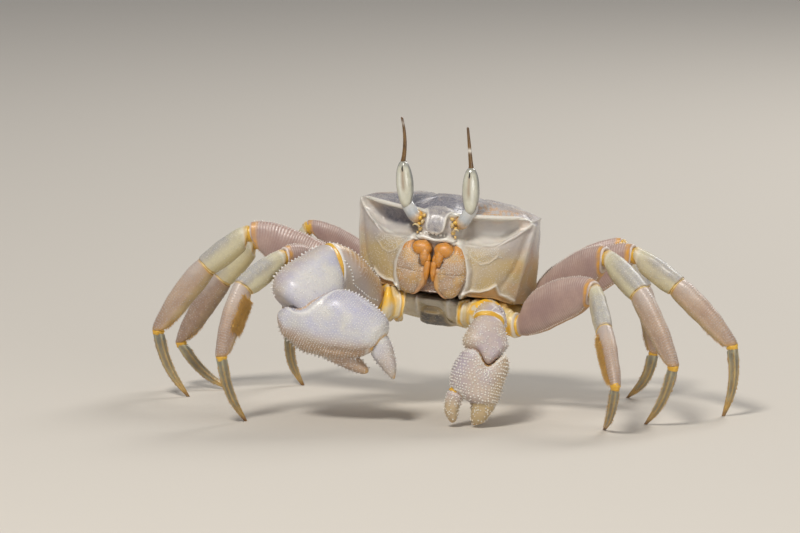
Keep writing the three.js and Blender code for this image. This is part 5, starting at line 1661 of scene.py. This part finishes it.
def eye_stem(side, base, neck, top):
    """A smooth pale tube that narrows into the spine behind the cornea."""
    foot = base + [-1.3 * side, 2.2, -0.3]
    rows = [[0, *foot, 1.5], [0.5, *(mix(base, neck, 0.05) + 0.35 * REARWARD), 1.5],
            [1, *(mix(base, neck, 0.65) + 0.2 * REARWARD), 1.5]]
    # up the cornea: the place, how far behind its axis, and the spine's radius
    spine = [(0.02, 0.55, 1.42), (0.16, 0.85, 1.15), (0.5, 1, 0.85), (0.85, 0.75, 0.75)]
    for number, (place, setback, radius) in enumerate(spine):
        spot = mix(neck, top, place) + REARWARD * EYE["spine_setback"] * setback
        rows.append([1.6 + number, *spot, radius])
    rows.append([5.6, *top, EYE["horn_radius"] * 1.25])
    place = np.linspace(0, 5.6, 130)
    values = through(rows, place)
    stem = tube_skin(values[:, :3], values[:, 3], 48)
    beaded = 0.12 * hill(place, 0.3, 0.06) + 0.1 * hill(place, 0.46, 0.05)
    stem.push(beaded[:, None] + 0.02 * wobble(stem.grid, 1.5, 27))
    stem.paint("warm", 0.9 * fall(place, 0.3, 0.75)[:, None])
    stem.paint("pale", 0.45 * between(place, 0.5, 1.1, 2.4, 3.4)[:, None])
    stem.paint("dusk", 0.75 * ramp(place, 3.8, 5)[:, None])
    return stem


def eye_horn(pose, side, top):
    """The slender curved horn, with a round tip and one pale ring."""
    rounding = np.sin(np.linspace(0, math.pi / 2, 8))[1:]
    share = np.concatenate([np.linspace(-0.06, 0.97, 80), 0.97 + 0.03 * rounding])
    leans = pose["horn_lean"] + pose["horn_bend"] * np.maximum(share, 0)
    ways = np.array([leaning(side, lean) for lean in leans])
    radius = mix(EYE["horn_radius"], EYE["horn_tip_radius"], np.clip(share, 0, 1))
    to_tip = np.clip((share - 0.965) / 0.0355, 0, 1)
    radius = radius * (1 + 0.06 * hill(share, 0, 0.08)) * np.sqrt(np.clip(1 - to_tip**2, 0.003, 1))
    horn, _ = level_tube(top + ways * (pose["horn"] * share)[:, None], radius, 20)
    horn.paint("dusk", 0.8 * ramp(share, 0.6, 1)[:, None])
    horn.paint("pale", pose["ring_paleness"] * hill(share, pose["ring"], 0.05)[:, None])
    return horn


def eye_cornea(side, neck, eye_way):
    """A tall glassy pod, with a brown streak, a dark slit and a painted highlight along its front."""
    share = 0.5 - 0.5 * np.cos(np.linspace(0.05, math.pi - 0.05, 110))
    swell = np.sin(math.pi * share) ** mix(0.5, 0.36, share)
    length, low_end = EYE["cornea_length"] + EYE["cornea_overlap"], -EYE["cornea_overlap"]
    centre = neck + eye_way * (low_end + length * share)[:, None]
    centre = centre - REARWARD * (0.55 * fall(share, 0, 0.35))[:, None]
    cornea, angle = level_tube(centre, EYE["cornea_radius"] * 0.97 * swell, 72)
    ahead = (np.sin(angle) < 0)[None]
    aside = np.cos(angle)[None] * side
    height = share[:, None]
    # A shallow facet along the front, where the streak runs.
    cornea.push(-0.12 * hill(aside, 0.05, 0.22) * ahead * hill(height, 0.6, 0.28))
    streak = hill(aside, -0.02, 0.24) * ahead * between(height, 0.3, 0.5, 0.8, 0.9)
    slit = fall(np.hypot((aside + 0.02) / 0.13, (height - 0.85) / 0.07), 0.75, 1.1) * ahead
    painted_highlight = hill(aside, 0.4, 0.22) * ahead * between(height, 0.15, 0.4, 0.7, 0.85)
    cornea.paint("under", 0.95 * ramp(np.abs(aside), 0.78, 0.98) + 0.75 * ramp(height, 0.84, 0.95)
                 + 0.5 * fall(height, 0.03, 0.1))
    cornea.paint("under", 0.7 * ramp(np.sin(angle), -0.1, 0.4)[None] * np.ones_like(height))
    cornea.paint("warm", 0.6 * streak)
    # a painted highlight on the front of the eye
    cornea.paint("pale", 0.5 * painted_highlight)
    cornea.paint("dusk", slit)
    return cornea


def add_eye(side, side_name):
    pose = EYE_POSES[side_name]
    base = on_body(np.array(EYE["base"]) * [side, 1, 1])
    eye_way = leaning(side, pose["eye_lean"])
    neck = base + leaning(side, pose["stem_lean"]) * EYE["stem_length"]
    top = neck + eye_way * EYE["cornea_length"]
    name = f"{side_name}_eye"
    Piece(f"{name}_stem", eye_stem(side, base, neck, top)).build("stem", "stem", f"{name}_stalk")
    Piece(f"{name}_horn", eye_horn(pose, side, top)).build("stem", "horn")
    Piece(f"{name}_glass", eye_cornea(side, neck, eye_way)).build("cornea", "cornea",
                                                                  f"{name}_cornea")


# ---------------------------------------------------------------- bristles

def brush(piece, skin, number, weight, length, radius, lean, tint, seed):
    """Hairs rooted on a skin where weight is high, leaning towards a direction."""
    dice = np.random.RandomState(seed)
    points, normals, _, places = skin.scatter(weight, number, dice)
    ways = unit(normals + lean + 0.3 * dice.normal(size=points.shape))
    lengths = length * dice.uniform(0.6, 1.15, number)
    tints = np.array(tint) * dice.uniform(0.4, 1.2, (number, 1, 1))
    piece.bristles(points, ways, places, lengths, radius, np.clip(tints, 0, 1), seed + 1)


def add_bristles(legs):
    """Brushes on the first legs, and short fringes along every dactyl."""
    for side_name, side in SIDES.items():
        shin = legs[side_name, 0]["propodus"]
        brushes = Piece(f"{side_name}_leg_1_brush")
        # the brush stands on the side of the shin that faces the claws
        inner = ramp(-skin_x(shin) * side, 0.72, 0.97) * ramp(shin.place, 0.06, 0.16)
        low_end = BRUSH_ENDS[side_name]
        inner = inner * fall(shin.place, low_end - 0.12, low_end)
        down = shin.axis * 0.7
        brush(brushes, shin, 3000, inner, 1.05, 0.05, down, (0.6, 0.35, 0.3, 0.15), 301 + side)
        brushes.build("propodus", "bristle")
        fringe = Piece(f"{side_name}_dactyl_fringes")
        for index in range(4):
            toe = legs[side_name, index]["dactyl"]
            angle = np.arccos(np.clip(toe.high, -1, 1))
            lines = ramp(np.cos(6 * angle), 0.6, 1)
            where = lines * between(toe.place, 0.04, 0.1, 0.6, 0.85)
            down = toe.axis * 1.3
            brush(fringe, toe, 520, where, 0.5, 0.035, down, (0.4, 0.4, 0, 0.6), 321 + index)
            heel = legs[side_name, index]["propodus"]
            where = ramp(-heel.high, 0.5, 0.9) * between(heel.place, 0.5, 0.9, 0.97, 1)
            down = heel.axis * 1.2
            brush(fringe, heel, 160, where, 0.6, 0.035, down, (0.4, 0.4, 0, 0.3), 341 + index)
        fringe.build("dactyl", "bristle")


def skin_x(skin):
    """How far each point's normal looks along X."""
    return skin.normals()[..., 0]


# ---------------------------------------------------------------- the crab

legs = {}
for side_name, side in SIDES.items():
    for index in range(len(LEG_SIZES)):
        legs[side_name, index] = add_leg(side, side_name, index)
    add_claw(side, side_name)
    add_eye(side, side_name)
    add_mouthpart(side, side_name)
add_carapace()
add_face_details()
add_leg_roots()
add_sternum()
add_abdomen()
add_bristles(legs)

# ---------------------------------------------------------------- stage, light and camera

FLOOR_REACH, FLOOR_DROP = 4.0, 0.0001  # in metres, like the lights below
FLOOR_COLOUR = (208, 202, 192)
# The lights: place, size, power and colour. All look at the middle of the crab.
LIGHT_AIM = (0, 0, 0.03)
LIGHTS = {
    "key": ((-0.12, -0.75, 0.95), 0.28, 9.6, (1.0, 0.96, 0.9)),
    "fill": ((0.75, -0.9, 0.25), 0.7, 3.2, (1.0, 0.97, 0.93)),
    "rim": ((0.3, 0.8, 0.7), 0.5, 5, (1.0, 0.98, 0.95)),
}
WORLD_COLOUR, WORLD_STRENGTH = (0.94, 0.95, 1.0, 1), 0.26


def add_floor():
    mesh = bpy.data.meshes.new("floor")
    corners = [(x * FLOOR_REACH, y * FLOOR_REACH, 0) for x, y in ((-1, -1), (1, -1), (1, 1), (-1, 1))]
    mesh.from_pydata(corners, [], [(0, 1, 2, 3)])
    floor = bpy.data.objects.new("floor", mesh)
    floor.location.z = -FLOOR_DROP
    bpy.context.scene.collection.objects.link(floor)
    n = Nodes("floor")
    n.link(linear(FLOOR_COLOUR), n.shader.inputs["Base Color"])
    n.shader.inputs["Roughness"].default_value = 0.8
    mesh.materials.append(n.material)


def add_light(name, place, size, power, colour):
    light = bpy.data.lights.new(name, "AREA")
    light.shape = "DISK"
    light.size = size
    light.energy = power
    light.color = colour
    lamp = bpy.data.objects.new(name, light)
    lamp.location = place
    lamp.rotation_euler = (Vector(LIGHT_AIM) - Vector(place)).to_track_quat("-Z", "Y").to_euler()
    bpy.context.scene.collection.objects.link(lamp)


def add_world():
    world = bpy.data.worlds.new("studio")
    world.use_nodes = True
    background = world.node_tree.nodes["Background"]
    background.inputs["Color"].default_value = WORLD_COLOUR
    background.inputs["Strength"].default_value = WORLD_STRENGTH
    bpy.context.scene.world = world


# Where the camera stands: azimuth and height in degrees, distance in mm, and the place in
# the 800 x 533 frame where the crab's floor origin falls.
CAMERA = {"azimuth": 14.0, "rise": 8.3, "distance": 1587.3, "lens": 300.0, "sensor": 36.0}
FRAME_WIDTH, FRAME_HEIGHT = 800, 533
ORIGIN_PIXEL = (456.5, 402.7)


def add_camera():
    a, e = math.radians(CAMERA["azimuth"]), math.radians(CAMERA["rise"])
    back = np.array([math.sin(a) * math.cos(e), -math.cos(a) * math.cos(e), math.sin(e)])
    right = np.array([math.cos(a), math.sin(a), 0])
    above = np.cross(back, right)
    per_pixel = CAMERA["distance"] * CAMERA["sensor"] / CAMERA["lens"] / FRAME_WIDTH
    aim = (right * (FRAME_WIDTH / 2 - ORIGIN_PIXEL[0])
           + above * (ORIGIN_PIXEL[1] - FRAME_HEIGHT / 2)) * per_pixel
    camera = bpy.data.cameras.new("camera")
    camera.lens, camera.sensor_width = CAMERA["lens"], CAMERA["sensor"]
    camera.sensor_fit = "HORIZONTAL"
    camera.clip_start, camera.clip_end = 0.05, 50
    rig = bpy.data.objects.new("camera", camera)
    place = (back * CAMERA["distance"] + CENTRING) * MM
    target = (aim + CENTRING) * MM
    rig.location = place
    rig.rotation_euler = Vector(target - place).to_track_quat("-Z", "Y").to_euler()
    bpy.context.scene.collection.objects.link(rig)
    bpy.context.scene.camera = rig


add_floor()
for light_name, facts in LIGHTS.items():
    add_light(light_name, *facts)
add_world()
add_camera()
bpy.context.scene.view_settings.view_transform = "Standard"
